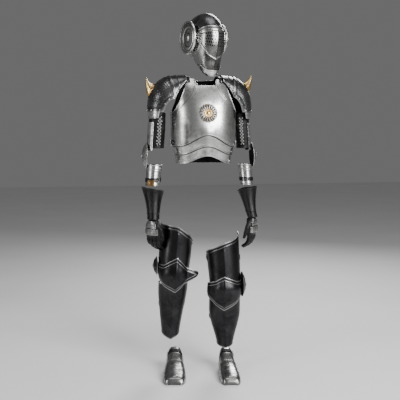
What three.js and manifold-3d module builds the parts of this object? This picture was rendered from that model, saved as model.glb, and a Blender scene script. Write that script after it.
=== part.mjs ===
// Suit of plate armour, worn and hollow, in millimetres. +Z is up and the suit faces -Y.
// Heights in the tables are above the soles. The origin is on the shoulder line.
import * as THREE from 'three';
import { mergeVertices } from 'three/addons/utils/BufferGeometryUtils.js';
import Module from 'manifold-3d';

const wasm = await Module();
wasm.setup();

// Driving sizes
const shoulderLine = 1500;
const steelWall = 2;
const leatherWall = 2.6;
const seam = 0.4;
const layer = steelWall + seam;
const degree = Math.PI / 180;

// Finishes
const material = (name, color, roughness, metalness) => {
  const made = new THREE.MeshStandardMaterial({ color, roughness, metalness });
  made.name = name;
  return made;
};
const finish = {
  bright: material('bright_steel', 0xa9a9a6, 0.38, 0.9),
  dark: material('dark_steel', 0x55565a, 0.42, 0.9),
  gilt: material('gilt', 0xb08a4a, 0.35, 0.9),
  leather: material('black_leather', 0x17171a, 0.6, 0),
};

const suit = new THREE.Group();
suit.name = 'suit';
suit.position.z = -shoulderLine;

// Numbers
const mix = (a, b, t) => a + (b - a) * t;
const limit = (t) => Math.min(1, Math.max(0, t));
const ease = (t) => limit(t) * limit(t) * (3 - 2 * limit(t));
const power = (t, exponent) => Math.sign(t) * Math.abs(t) ** exponent;

// Smooth value of one column of a table whose rows are sorted by the key column
function read(table, key, value, column) {
  const last = table.length - 1;
  let index = 0;
  while (index < last - 1 && value > table[index + 1][key]) index += 1;
  const before = table[Math.max(0, index - 1)];
  const start = table[index];
  const end = table[index + 1];
  const after = table[Math.min(last, index + 2)];
  const span = end[key] - start[key];
  const t = limit((value - start[key]) / span);
  const slopeStart = span * (end[column] - before[column]) / (end[key] - before[key]);
  const slopeEnd = span * (after[column] - start[column]) / (after[key] - start[key]);
  const t2 = t * t;
  const t3 = t2 * t;
  return (2 * t3 - 3 * t2 + 1) * start[column] + (t3 - 2 * t2 + t) * slopeStart
    + (3 * t2 - 2 * t3) * end[column] + (t3 - t2) * slopeEnd;
}

// Straight-line value of one column, for outlines with corners
function readStraight(table, key, value, column) {
  let index = 0;
  while (index < table.length - 2 && value > table[index + 1][key]) index += 1;
  const start = table[index];
  const end = table[index + 1];
  return mix(start[column], end[column], limit((value - start[key]) / (end[key] - start[key])));
}

// Adds a closed mesh, with its faces turned outwards
function addMesh(name, material, points, faces) {
  let volume = 0;
  for (const [a, b, c] of faces) {
    volume += points[a].dot(new THREE.Vector3().crossVectors(points[b], points[c]));
  }
  const turned = volume < 0 ? faces.map(([a, b, c]) => [a, c, b]) : faces;
  const geometry = new THREE.BufferGeometry();
  const values = points.flatMap((point) => [point.x, point.y, point.z]);
  geometry.setAttribute('position', new THREE.Float32BufferAttribute(values, 3));
  geometry.setIndex(turned.flat());
  return addGeometry(name, material, geometry);
}

function addGeometry(name, material, geometry) {
  geometry.computeVertexNormals();
  const mesh = new THREE.Mesh(geometry, material);
  mesh.name = name;
  suit.add(mesh);
  return mesh;
}

// Wall of even thickness behind a surface at(u, v), with u and v from 0 to 1.
// closed joins u = 1 to u = 0, and inside is a point on the hollow side.
function plate({ name, material, at, inside, across, along, wall = steelWall, closed = false }) {
  const nudge = 0.002;
  const low = (t) => Math.max(0, t - nudge);
  const high = (t) => Math.min(1, t + nudge);
  const wrap = (t) => (t + 1) % 1;
  const normalAt = (u, v) => {
    const right = closed ? at(wrap(u + nudge), v) : at(high(u), v);
    const left = closed ? at(wrap(u - nudge), v) : at(low(u), v);
    const rise = at(u, high(v)).sub(at(u, low(v)));
    return right.sub(left).cross(rise).normalize();
  };
  const middle = at(0.5, 0.5);
  const side = normalAt(0.5, 0.5).dot(middle.clone().sub(inside)) < 0 ? -1 : 1;
  const columns = closed ? across : across + 1;
  const points = [];
  for (const depth of [0, wall]) {
    for (let j = 0; j <= along; j += 1) {
      for (let i = 0; i < columns; i += 1) {
        const u = i / across;
        const v = j / along;
        points.push(at(u, v).addScaledVector(normalAt(u, v), -side * depth));
      }
    }
  }
  const half = columns * (along + 1);
  const faces = [];
  const quad = (a, b, c, d) => faces.push([a, b, c], [a, c, d]);
  for (let j = 0; j < along; j += 1) {
    for (let i = 0; i < across; i += 1) {
      const a = j * columns + i;
      const b = j * columns + ((i + 1) % columns);
      const c = b + columns;
      const d = a + columns;
      quad(a, b, c, d);
      quad(half + b, half + a, half + d, half + c);
    }
  }
  for (let i = 0; i < across; i += 1) {
    const next = (i + 1) % columns;
    const top = along * columns;
    quad(next, i, half + i, half + next);
    quad(top + i, top + next, half + top + next, half + top + i);
  }
  if (!closed) {
    for (let j = 0; j < along; j += 1) {
      const a = j * columns;
      const b = a + columns;
      const end = across;
      quad(a, b, half + b, half + a);
      quad(b + end, a + end, half + a + end, half + b + end);
    }
  }
  return addMesh(name, material, points, faces);
}

// Closed solid through rings of points, all with the same count
function loftSolid(rings) {
  const count = rings[0].length;
  const points = rings.flat();
  const faces = [];
  for (let j = 0; j < rings.length - 1; j += 1) {
    for (let i = 0; i < count; i += 1) {
      const a = j * count + i;
      const b = j * count + ((i + 1) % count);
      faces.push([a, b, b + count], [a, b + count, a + count]);
    }
  }
  const last = (rings.length - 1) * count;
  for (let i = 1; i < count - 1; i += 1) {
    faces.push([0, i + 1, i]);
    faces.push([last, last + i, last + i + 1]);
  }
  return { points, faces };
}

// Conversion for boolean cuts and joins
function toSolid({ points, faces }) {
  let volume = 0;
  for (const [a, b, c] of faces) {
    volume += points[a].dot(new THREE.Vector3().crossVectors(points[b], points[c]));
  }
  const turned = volume < 0 ? faces.map(([a, b, c]) => [a, c, b]) : faces;
  const vertProperties = new Float32Array(points.flatMap((point) => [point.x, point.y, point.z]));
  const triVerts = new Uint32Array(turned.flat());
  return new wasm.Manifold(new wasm.Mesh({ numProp: 3, vertProperties, triVerts }));
}

function fromSolid(solid) {
  const { vertProperties, triVerts } = solid.getMesh();
  const geometry = new THREE.BufferGeometry();
  geometry.setAttribute('position', new THREE.BufferAttribute(new Float32Array(vertProperties), 3));
  geometry.setIndex(new THREE.BufferAttribute(new Uint32Array(triVerts), 1));
  return mergeVertices(geometry, 0.001);
}

// Torso
// Rows from the waist up: height, half width, depth in front of and behind the axis
const torso = [
  { up: 1090, half: 150, front: 108, back: 84 },
  { up: 1150, half: 157, front: 118, back: 92 },
  { up: 1205, half: 167, front: 128, back: 98 },
  { up: 1270, half: 171, front: 134, back: 104 },
  { up: 1340, half: 171, front: 132, back: 110 },
  { up: 1400, half: 171, front: 122, back: 112 },
  { up: 1450, half: 168, front: 105, back: 108 },
  { up: 1500, half: 160, front: 82, back: 96 },
  { up: 1545, half: 150, front: 50, back: 74 },
];
const torsoSquareness = 0.88;
const torsoWidth = 171;

// Point on the torso at an angle from the front, moved out by lift, with a keel low on the front
const keel = { height: 5, spread: 12 * degree, fades: 1255, over: 60 };

function torsoPoint(angle, up, lift) {
  const half = read(torso, 'up', up, 'half') + lift;
  const depth = read(torso, 'up', up, Math.cos(angle) > 0 ? 'front' : 'back') + lift;
  const fade = 1 - ease((up - keel.fades) / keel.over);
  const ridge = keel.height * fade * Math.max(0, 1 - Math.abs(angle) / keel.spread);
  return new THREE.Vector3(
    half * power(Math.sin(angle), torsoSquareness),
    -(depth * power(Math.cos(angle), torsoSquareness) + ridge),
    up,
  );
}

const sideways = (angle) => Math.abs(torsoWidth * power(Math.sin(angle), torsoSquareness));

// Edge heights across the torso, by distance from its midline
const breastTop = [
  { out: 0, up: 1500 },
  { out: 52, up: 1500 },
  { out: 61, up: 1534 },
  { out: 104, up: 1540 },
  { out: 116, up: 1486 },
  { out: 134, up: 1426 },
  { out: 154, up: 1382 },
  { out: 171, up: 1364 },
];
const backTop = [
  { out: 0, up: 1536 },
  { out: 61, up: 1540 },
  { out: 104, up: 1540 },
  { out: 118, up: 1486 },
  { out: 138, up: 1420 },
  { out: 156, up: 1380 },
  { out: 171, up: 1364 },
];
// The three arched edges below the chest, with the height in the middle and at the sides
const arches = {
  breast: { middle: 1250, sides: 1193 },
  upperLame: { middle: 1193, sides: 1151 },
  lowerLame: { middle: 1143, sides: 1104 },
};
const archReach = 150;
const lameLap = 14;
const lameGap = 0.9;

function archHeight(arch, angle) {
  const out = sideways(angle) / archReach;
  return mix(arch.middle, arch.sides, ease(out));
}

const sideAngle = 89.9 * degree;
const torsoInside = new THREE.Vector3(0, 0, 1300);

function torsoPlate({ name, top, bottom, lift, behind = false, across, along }) {
  const at = (u, v) => {
    const turn = mix(-sideAngle, sideAngle, u);
    const angle = behind ? Math.PI + turn : turn;
    return torsoPoint(angle, mix(bottom(angle), top(angle), v), lift);
  };
  plate({ name, material: finish.bright, at, inside: torsoInside, across, along });
}

torsoPlate({
  name: 'breastplate',
  top: (angle) => readStraight(breastTop, 'out', sideways(angle), 'up'),
  bottom: (angle) => archHeight(arches.breast, angle),
  lift: 0,
  across: 26,
  along: 7,
});
torsoPlate({
  name: 'lame_front_upper',
  top: (angle) => archHeight(arches.breast, angle) + lameLap,
  bottom: (angle) => archHeight(arches.upperLame, angle),
  lift: -layer - lameGap,
  across: 26,
  along: 1,
});
torsoPlate({
  name: 'lame_front_lower',
  top: (angle) => archHeight(arches.upperLame, angle) + lameLap,
  bottom: (angle) => archHeight(arches.lowerLame, angle),
  lift: -2 * (layer + lameGap),
  across: 26,
  along: 1,
});
torsoPlate({
  name: 'backplate',
  behind: true,
  top: (angle) => readStraight(backTop, 'out', sideways(angle), 'up'),
  bottom: () => arches.breast.sides,
  lift: 0,
  across: 16,
  along: 5,
});
torsoPlate({
  name: 'lame_back_upper',
  behind: true,
  top: () => arches.breast.sides + lameLap,
  bottom: () => arches.upperLame.sides,
  lift: -layer - lameGap,
  across: 16,
  along: 1,
});
torsoPlate({
  name: 'lame_back_lower',
  behind: true,
  top: () => arches.upperLame.sides + lameLap,
  bottom: () => arches.lowerLame.sides,
  lift: -2 * (layer + lameGap),
  across: 16,
  along: 1,
});

// Chest badge: a domed boss inside a scalloped rim, seated on the breastplate
const badge = { up: 1360, radius: 47, height: 9, petals: 9, scallop: 0.07, gap: 0.8 };
const badgeRings = [
  { reach: 0.1, rise: 0 },
  { reach: 0.5, rise: 0 },
  { reach: 1, rise: 0 },
  { reach: 1, rise: 0.3 },
  { reach: 0.42, rise: 0.4 },
  { reach: 0.36, rise: 0.75 },
  { reach: 0.12, rise: 1 },
];
{
  const count = badge.petals * 2;
  const rings = badgeRings.map(({ reach, rise }) => {
    const ring = [];
    for (let i = 0; i < count; i += 1) {
      const turn = (i / count) * 2 * Math.PI;
      const wave = reach > 0.5 ? 1 + badge.scallop * Math.cos(badge.petals * turn) : 1;
      const radius = badge.radius * reach * wave;
      const out = radius * Math.cos(turn);
      const up = badge.up + radius * Math.sin(turn);
      const angle = Math.asin(power(out / read(torso, 'up', up, 'half'), 1 / torsoSquareness));
      const lift = badge.gap + badge.height * rise;
      ring.push(torsoPoint(angle, up, lift));
    }
    return ring;
  });
  const { points, faces } = loftSolid(rings);
  addMesh('chest_badge', finish.gilt, points, faces);
}

// Helmet, measured from the middle of the line through the ears
const helmet = { out: 2, up: 1745, turn: 17 * degree, half: 76, roundness: 0.66 };
const visorLift = 7.6;
const pivotRadius = 22;

// Side profile of the head by angle from straight ahead: reach from the ear line and half width
const head = [
  { pitch: -100, reach: 140, half: 66 },
  { pitch: -80, reach: 174, half: 70 },
  { pitch: -66, reach: 214, half: 70 },
  { pitch: -50, reach: 179, half: 75 },
  { pitch: -35, reach: 154, half: 75 },
  { pitch: -15, reach: 143, half: 76 },
  { pitch: 0, reach: 141, half: 76 },
  { pitch: 30, reach: 140, half: 76 },
  { pitch: 60, reach: 134, half: 76 },
  { pitch: 90, reach: 126, half: 76 },
  { pitch: 125, reach: 128, half: 76 },
  { pitch: 160, reach: 130, half: 76 },
  { pitch: 195, reach: 120, half: 76 },
  { pitch: 230, reach: 114, half: 72 },
  { pitch: 270, reach: 112, half: 62 },
];
const helmetFrame = new THREE.Matrix4()
  .makeRotationZ(helmet.turn)
  .setPosition(helmet.out, 0, helmet.up);

// Point on the head: pitch in degrees, and swing from the middle of the face towards each ear
function headPoint(pitch, swing, lift, even = false) {
  const reach = read(head, 'pitch', pitch, 'reach') + lift;
  const half = (even ? helmet.half : read(head, 'pitch', pitch, 'half')) + lift;
  const radius = reach * Math.cos(swing) ** helmet.roundness;
  const local = new THREE.Vector3(
    half * Math.sin(swing),
    -radius * Math.cos(pitch * degree),
    radius * Math.sin(pitch * degree),
  );
  return local.applyMatrix4(helmetFrame);
}

const headInside = new THREE.Vector3(0, -20, 10).applyMatrix4(helmetFrame);
const browPitch = 11;
const visorSeamPitch = -43;
const napePitch = 236;
const earSwing = 86 * degree;

function headPlate({ name, pitches, swing, lift, even, across, along }) {
  const at = (u, v) => {
    const angle = mix(-swing, swing, u);
    const [low, high] = pitches(Math.abs(angle) / degree);
    return headPoint(mix(low, high, v), angle, lift, even);
  };
  return plate({ name, material: finish.bright, at, inside: headInside, across, along });
}

headPlate({
  name: 'helmet_skull',
  pitches: () => [browPitch, napePitch],
  swing: earSwing,
  lift: 0,
  across: 16,
  along: 15,
});
headPlate({
  name: 'helmet_brow_band',
  pitches: (swing) => [browPitch + 1, browPitch + 9 + 3 * ease(swing / 60)],
  swing: 0.75 * earSwing,
  lift: layer + seam,
  across: 12,
  along: 1,
});

// Visor with an arm on each side that ends at the pivot
const visorEdges = [
  { swing: 0, low: visorSeamPitch, high: 12 },
  { swing: 30, low: -39, high: 11 },
  { swing: 52, low: -28, high: 9 },
  { swing: 64, low: -19, high: 9 },
  { swing: 74, low: -16, high: 15 },
  { swing: 90, low: -24, high: 24 },
];
const armEnd = (pivotRadius + 2 * seam) / (head[6].reach + visorLift);
const visorSwing = Math.acos(armEnd ** (1 / helmet.roundness));
headPlate({
  name: 'helmet_visor',
  pitches: (swing) => [
    readStraight(visorEdges, 'swing', swing, 'low'),
    readStraight(visorEdges, 'swing', swing, 'high'),
  ],
  swing: visorSwing,
  lift: visorLift,
  even: true,
  across: 22,
  along: 6,
});

// Lower face plate, which the visor laps, and the chin plate on it
headPlate({
  name: 'helmet_lower_face',
  pitches: (swing) => [-66 - 28 * ease(swing / 78), -37 + 47 * ease(swing / 78)],
  swing: 78 * degree,
  lift: 0,
  across: 18,
  along: 5,
});
headPlate({
  name: 'helmet_chin_plate',
  pitches: (swing) => [-65 - 15 * ease(swing / 60), -57 - 5 * ease(swing / 60)],
  swing: 52 * degree,
  lift: layer + 1.5,
  across: 12,
  along: 2,
});
headPlate({
  name: 'helmet_neck_guard',
  pitches: () => [napePitch - 15, napePitch + 30],
  swing: 0.75 * earSwing,
  lift: layer + seam,
  across: 12,
  along: 3,
});

// Dished ear discs, whose hubs carry the visor
const discSeat = helmet.half + seam;
const discFace = helmet.half + visorLift + 2 * seam;
const earProfile = [
  { radius: 0, out: discSeat },
  { radius: pivotRadius, out: discSeat },
  { radius: pivotRadius, out: discFace },
  { radius: 76, out: discFace },
  { radius: 84, out: discFace + 4 },
  { radius: 82, out: discFace + 13 },
  { radius: 70, out: discFace + 8 },
  { radius: 42, out: discFace + 3.6 },
  { radius: 36, out: discFace + 8 },
  { radius: 30, out: discFace + 3.6 },
  { radius: 17, out: discFace + 4 },
  { radius: 11, out: discFace + 13 },
  { radius: 0, out: discFace + 15 },
];
for (const [sideName, sign] of [['right', -1], ['left', 1]]) {
  const outline = earProfile.map(({ radius, out }) => new THREE.Vector2(radius, out));
  const geometry = new THREE.LatheGeometry(outline, 18);
  geometry.deleteAttribute('normal');
  geometry.deleteAttribute('uv');
  geometry.rotateZ(-sign * Math.PI / 2);
  geometry.applyMatrix4(helmetFrame);
  addGeometry(`helmet_ear_disc_${sideName}`, finish.bright, mergeVertices(geometry, 0.001));
}

// Straps over the shoulders, from the top of the breastplate to the top of the backplate
const shoulderStrap = { width: 30, crest: 1555.8, middle: 6, low: 1516, high: 1544, lap: 0.9 };
for (const [sideName, sign, strapOut] of [['right', -1, 94], ['left', 1, 86]]) {
  const onTorso = (out, up, behind) => {
    const half = read(torso, 'up', up, 'half');
    const angle = Math.asin(power(out / half, 1 / torsoSquareness));
    const point = torsoPoint(behind ? Math.PI - angle : angle, up, leatherWall + shoulderStrap.lap);
    point.x *= sign;
    return point;
  };
  const at = (u, v) => {
    const out = strapOut + (u - 0.5) * shoulderStrap.width;
    const path = new THREE.CatmullRomCurve3([
      onTorso(out, shoulderStrap.low, false),
      onTorso(out, shoulderStrap.high, false),
      new THREE.Vector3(sign * out, shoulderStrap.middle, shoulderStrap.crest),
      onTorso(out, shoulderStrap.high, true),
      onTorso(out, shoulderStrap.low, true),
    ]);
    return path.getPoint(v);
  };
  plate({
    name: `shoulder_strap_${sideName}`,
    material: finish.leather,
    at,
    inside: new THREE.Vector3(sign * strapOut, shoulderStrap.middle, 1400),
    across: 2,
    along: 12,
    wall: leatherWall,
  });
}

// Straps round the sides of the waist, across the seam between front and back
const sideStrap = { up: 1212, width: 24, reach: 20 * degree };
for (const [sideName, sign] of [['right', -1], ['left', 1]]) {
  const at = (u, v) => {
    const angle = sign * (Math.PI / 2 + mix(-sideStrap.reach, sideStrap.reach, u));
    return torsoPoint(angle, sideStrap.up + (v - 0.5) * sideStrap.width, leatherWall + 0.5);
  };
  plate({
    name: `side_strap_${sideName}`,
    material: finish.leather,
    at,
    inside: new THREE.Vector3(0, 0, sideStrap.up),
    across: 8,
    along: 1,
    wall: leatherWall,
  });
}

// Pauldron: ribs from the neck outwards and down over the shoulder.
// out is measured from the midline, tilt is the way the rib's crest faces, from straight up,
// spread is the half depth and drop how far the rib's ends come down from its crest.
const pauldron = [
  { rib: 0, out: 98, up: 1564, tilt: -4, spread: 78, drop: 34 },
  { rib: 1, out: 150, up: 1561, tilt: 6, spread: 84, drop: 76 },
  { rib: 2, out: 200, up: 1548, tilt: 20, spread: 90, drop: 104 },
  { rib: 3, out: 243, up: 1519, tilt: 42, spread: 93, drop: 104 },
  { rib: 4, out: 274, up: 1474, tilt: 64, spread: 92, drop: 92 },
  { rib: 5, out: 289, up: 1420, tilt: 82, spread: 84, drop: 78 },
  { rib: 6, out: 291, up: 1362, tilt: 90, spread: 74, drop: 62 },
  { rib: 7, out: 289, up: 1318, tilt: 93, spread: 66, drop: 50 },
];
const pauldronDepth = 8;
const ribReach = 98 * degree;
const neckLameGap = 1;
const lowerLameGap = 0.5;

function pauldronPoint(side, rib, turn, lift) {
  const out = side.neck + (read(pauldron, 'rib', rib, 'out') - pauldron[0].out) * side.breadth;
  const tilt = read(pauldron, 'rib', rib, 'tilt') * degree;
  const spread = read(pauldron, 'rib', rib, 'spread') + lift;
  const drop = read(pauldron, 'rib', rib, 'drop') * side.breadth;
  const facing = new THREE.Vector3(side.sign * Math.sin(tilt), 0, Math.cos(tilt));
  return new THREE.Vector3(side.sign * out, pauldronDepth, read(pauldron, 'rib', rib, 'up'))
    .addScaledVector(facing, lift - drop * (1 - Math.cos(turn)))
    .add(new THREE.Vector3(0, -spread * Math.sin(turn), 0));
}

// Arm, as the middle of the limb at heights: radii are half widths of the plates and leather
const sides = [
  {
    name: 'right', sign: -1, neck: 98, breadth: 1, girth: 1,
    shoulder: 236, elbow: 250, wrist: 268, hand: 276,
  },
  {
    name: 'left', sign: 1, neck: 90, breadth: 0.88, girth: 0.88,
    shoulder: 209, elbow: 230, wrist: 238, hand: 262,
  },
];
const armRows = [
  { up: 780, way: 3, depth: -78, radius: 34 },
  { up: 860, way: 2.4, depth: -48, radius: 34 },
  { up: 985, way: 2, depth: -6, radius: 35 },
  { up: 1080, way: 1.4, depth: 12, radius: 38 },
  { up: 1147, way: 1, depth: 22, radius: 42 },
  { up: 1260, way: 0.5, depth: 18, radius: 45.4 },
  { up: 1400, way: 0, depth: 12, radius: 42.8 },
];

// Point round an arm: turn is 0 straight out from the body, and 90 degrees in front
function armPoint(side, up, turn, lift) {
  const way = read(armRows, 'up', up, 'way');
  const stops = [side.shoulder, side.elbow, side.wrist, side.hand];
  const index = Math.min(2, Math.floor(way));
  const out = mix(stops[index], stops[index + 1], way - index);
  const radius = read(armRows, 'up', up, 'radius') * side.girth + lift;
  return new THREE.Vector3(
    side.sign * (out + radius * Math.cos(turn)),
    read(armRows, 'up', up, 'depth') - radius * Math.sin(turn),
    up,
  );
}

const fullTurn = 2 * Math.PI;
function armInside(side, up) {
  return armPoint(side, up, 0, -read(armRows, 'up', up, 'radius') * side.girth);
}

const ribSpacing = 54;
const hornCorners = 10;
// Each horn's rib, the radius of its foot, its lean, and the scale of its length
const horns = {
  right: { rib: 3.9, radius: 34, lean: 1.15, size: 0.76 },
  left: { rib: 3.45, radius: 30, lean: 0.8, size: 0.94 },
};
// Horn from the foot up: distance out, how far it leans upwards, share of the foot's radius
const hornRows = [
  { out: 0, lean: 0, radius: 0.1 },
  { out: 0, lean: 0, radius: 0.6 },
  { out: 0, lean: 0, radius: 1 },
  { out: 13, lean: -1, radius: 0.88 },
  { out: 32, lean: -9, radius: 0.6 },
  { out: 52, lean: -23, radius: 0.33 },
  { out: 70, lean: -42, radius: 0.05 },
];
const sleeve = { low: 1182, high: 1366 };
const rerebrace = { low: 1172, high: 1316, reach: 62 * degree };
const couter = { up: 1146, half: 66, depth: 50, dome: 24, hole: 0.08 };
const vambrace = { low: 990, high: 1098 };
const cuff = { low: 822, high: 972, point: 14, pointTurn: 20 * degree, snug: -2, flare: 25 };

// Gloved hand. Its round wrist sits in the cuff, and its back faces outwards and a little to the front.
const hand = {
  wrist: 840, knuckle: 740, width: 46, thickness: 20,
  facing: 38 * degree, wall: 2.2, inCuff: 1.5,
};
const palmRows = [
  { up: 834, round: true },
  { up: 824, round: true },
  { up: 812, width: 0.66, thick: 1.2, shift: 0 },
  { up: 785, width: 0.98, thick: 1.15, shift: 2 },
  { up: 745, width: 1, thick: 0.95, shift: 4 },
  { up: 728, width: 0.86, thick: 0.6, shift: 2 },
];
// Fingers: place across the hand, length of each stretch, radius
const fingers = [
  { across: -0.76, reach: 32, radius: 10.2 },
  { across: -0.26, reach: 35, radius: 10.6 },
  { across: 0.26, reach: 33, radius: 10.2 },
  { across: 0.74, reach: 27, radius: 9.4 },
];
const fingerBends = [0, 20 * degree, 58 * degree];
const fingerTaper = [1, 1, 0.94, 0.66];
// Thumb: each stretch's way down, across the hand and towards the palm, and the radius at each joint
const thumbSteps = [
  { down: 30, across: -20, behind: 4 },
  { down: 30, across: -4, behind: 8 },
  { down: 22, across: 4, behind: 10 },
];
const thumbRadii = [13, 12, 10.5, 7];
const thumbStart = { up: 796, across: -0.6 };
const palmTable = palmRows.filter((row) => !row.round).reverse();
const handPlates = [
  { name: 'hand_plate', low: 776, high: 812, reach: 50 * degree, gap: 1.5 },
  { name: 'knuckle_plate', low: 740, high: 772, reach: 64 * degree, gap: 2.2 },
];
const handCorners = 8;
const fingerCorners = 5;

function handFrame(side) {
  const wide = new THREE.Vector3(side.sign * Math.sin(hand.facing), Math.cos(hand.facing), 0);
  const back = new THREE.Vector3(side.sign * Math.cos(hand.facing), -Math.sin(hand.facing), 0);
  const middle = armInside(side, hand.wrist);
  return { wide, back, middle };
}

function palmRing(side, { wide, back, middle }, row, lift) {
  const ring = [];
  for (let i = 0; i < handCorners; i += 1) {
    const turn = (i / handCorners) * fullTurn;
    if (row.round) {
      const inset = cuff.snug - leatherWall - hand.inCuff;
      ring.push(armPoint(side, row.up, side.sign * (turn + hand.facing), inset + lift));
      continue;
    }
    ring.push(new THREE.Vector3(middle.x, middle.y, row.up)
      .addScaledVector(wide, (hand.width * row.width + lift) * Math.cos(turn))
      .addScaledVector(back, row.shift + (hand.thickness * row.thick + lift) * Math.sin(turn)));
  }
  return ring;
}

// Tube round a chain of points with a radius at each
function tubeRings(points, radii, across, lift) {
  return points.map((point, index) => {
    const before = points[Math.max(0, index - 1)];
    const after = points[Math.min(points.length - 1, index + 1)];
    const along = after.clone().sub(before).normalize();
    const over = new THREE.Vector3().crossVectors(along, across).normalize();
    const ring = [];
    for (let i = 0; i < fingerCorners; i += 1) {
      const turn = (i / fingerCorners) * fullTurn;
      ring.push(point.clone()
        .addScaledVector(across, (radii[index] + lift) * Math.cos(turn))
        .addScaledVector(over, (radii[index] + lift) * Math.sin(turn)));
    }
    return ring;
  });
}

function fingerChain({ wide, back, middle }, finger) {
  const start = new THREE.Vector3(middle.x, middle.y, hand.knuckle + 6)
    .addScaledVector(wide, hand.width * finger.across)
    .addScaledVector(back, 2);
  const chain = [start];
  for (const bend of fingerBends) {
    const step = new THREE.Vector3(0, 0, -Math.cos(bend)).addScaledVector(back, -Math.sin(bend));
    chain.push(chain[chain.length - 1].clone().addScaledVector(step, finger.reach));
  }
  return chain;
}

function thumbChain({ wide, back, middle }) {
  const start = new THREE.Vector3(middle.x, middle.y, thumbStart.up)
    .addScaledVector(wide, hand.width * thumbStart.across);
  const chain = [start];
  for (const { down, across, behind } of thumbSteps) {
    chain.push(chain[chain.length - 1].clone()
      .add(new THREE.Vector3(0, 0, -down))
      .addScaledVector(wide, across)
      .addScaledVector(back, -behind));
  }
  return chain;
}

function handSolid(side, lift, open) {
  const frame = handFrame(side);
  const rows = open ? [{ ...palmRows[0], up: palmRows[0].up + 20 }, ...palmRows] : palmRows;
  let solid = toSolid(loftSolid(rows.map((row) => palmRing(side, frame, row, lift))));
  for (const finger of fingers) {
    const radii = fingerTaper.map((share) => finger.radius * share);
    const rings = tubeRings(fingerChain(frame, finger), radii, frame.wide, lift);
    solid = solid.add(toSolid(loftSolid(rings)));
  }
  const thumb = tubeRings(thumbChain(frame), thumbRadii, frame.back, lift);
  return solid.add(toSolid(loftSolid(thumb)));
}

function addGlove(side) {
  const outer = handSolid(side, 0, false);
  const inner = handSolid(side, -hand.wall, true);
  addGeometry(`glove_hand_${side.name}`, finish.leather, fromSolid(outer.subtract(inner)));
  const frame = handFrame(side);
  const onBack = (row, turn, lift) => new THREE.Vector3(frame.middle.x, frame.middle.y, row.up)
    .addScaledVector(frame.wide, (hand.width * row.width + lift) * Math.sin(turn))
    .addScaledVector(frame.back, row.shift + (hand.thickness * row.thick + lift) * Math.cos(turn));
  const rowAt = (up) => ({
    up,
    width: read(palmTable, 'up', up, 'width'),
    thick: read(palmTable, 'up', up, 'thick'),
    shift: read(palmTable, 'up', up, 'shift'),
  });
  for (const { name, low, high, reach, gap } of handPlates) {
    plate({
      name: `${name}_${side.name}`,
      material: finish.bright,
      at: (u, v) => onBack(rowAt(mix(low, high, v)), mix(-reach, reach, u), steelWall + gap),
      inside: new THREE.Vector3(frame.middle.x, frame.middle.y, mix(low, high, 0.5)),
      across: 8,
      along: 2,
    });
  }
}

// Legs. Rows from the foot up: middle of the limb, half width, depth in front of and behind it
const legs = [
  {
    name: 'right', sign: -1, yaw: -8 * degree,
    rows: [
      { up: 120, out: 177, depth: 4, half: 38, front: 44, back: 44 },
      { up: 200, out: 178, depth: 2, half: 46, front: 48, back: 56 },
      { up: 320, out: 173, depth: -2, half: 62, front: 58, back: 72 },
      { up: 430, out: 168, depth: -16, half: 76, front: 66, back: 62 },
      { up: 530, out: 164, depth: -30, half: 78, front: 70, back: 58 },
      { up: 620, out: 156, depth: -20, half: 84, front: 76, back: 70 },
      { up: 700, out: 146, depth: -8, half: 84, front: 84, back: 84 },
      { up: 820, out: 134, depth: 4, half: 90, front: 92, back: 96 },
    ],
    cuisse: {
      high: [
        { turn: -1, up: 692 },
        { turn: -0.4, up: 742 },
        { turn: 0, up: 782 },
        { turn: 1, up: 800 },
      ],
      low: 534,
    },
    poleyn: {
      high: [
        { turn: -1, up: 540 },
        { turn: -0.5, up: 578 },
        { turn: -0.1, up: 622 },
        { turn: 0.5, up: 584 },
        { turn: 1.25, up: 590 },
      ],
      low: [
        { turn: -1, up: 522 },
        { turn: -0.5, up: 474 },
        { turn: -0.1, up: 438 },
        { turn: 0.5, up: 475 },
        { turn: 1.25, up: 548 },
      ],
    },
    greave: { high: 486, low: [{ turn: -1, up: 218 }, { turn: 0, up: 178 }, { turn: 1, up: 222 }] },
    wing: { up: 570, half: 48 },
    thighStrap: 690,
    calfStrap: 360,
    foot: { out: 152, depth: 14, yaw: -10 * degree, wide: 1 },
    flare: 46,
  },
  {
    name: 'left', sign: 1, yaw: -6 * degree,
    rows: [
      { up: 110, out: 108, depth: -50, half: 36, front: 42, back: 44 },
      { up: 180, out: 107, depth: -54, half: 50, front: 50, back: 58 },
      { up: 300, out: 103, depth: -64, half: 80, front: 62, back: 74 },
      { up: 400, out: 100, depth: -78, half: 82, front: 68, back: 62 },
      { up: 470, out: 99, depth: -88, half: 80, front: 70, back: 58 },
      { up: 560, out: 98, depth: -72, half: 84, front: 76, back: 70 },
      { up: 650, out: 94, depth: -54, half: 88, front: 84, back: 84 },
      { up: 760, out: 88, depth: -36, half: 92, front: 90, back: 94 },
    ],
    cuisse: {
      high: [
        { turn: -1, up: 640 },
        { turn: -0.5, up: 662 },
        { turn: 0, up: 694 },
        { turn: 1, up: 742 },
      ],
      low: 448,
    },
    poleyn: {
      high: [
        { turn: -1, up: 486 },
        { turn: -0.5, up: 500 },
        { turn: -0.1, up: 524 },
        { turn: 0.5, up: 498 },
        { turn: 1.25, up: 492 },
      ],
      low: [
        { turn: -1, up: 420 },
        { turn: -0.5, up: 372 },
        { turn: -0.1, up: 342 },
        { turn: 0.5, up: 378 },
        { turn: 1.25, up: 442 },
      ],
    },
    greave: { high: 400, low: [{ turn: -1, up: 150 }, { turn: 0, up: 128 }, { turn: 1, up: 150 }] },
    wing: { up: 468, half: 66 },
    thighStrap: 610,
    calfStrap: 290,
    foot: { out: 116, depth: -44, yaw: -7 * degree, wide: 0.9 },
    flare: 10,
  },
];

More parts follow.
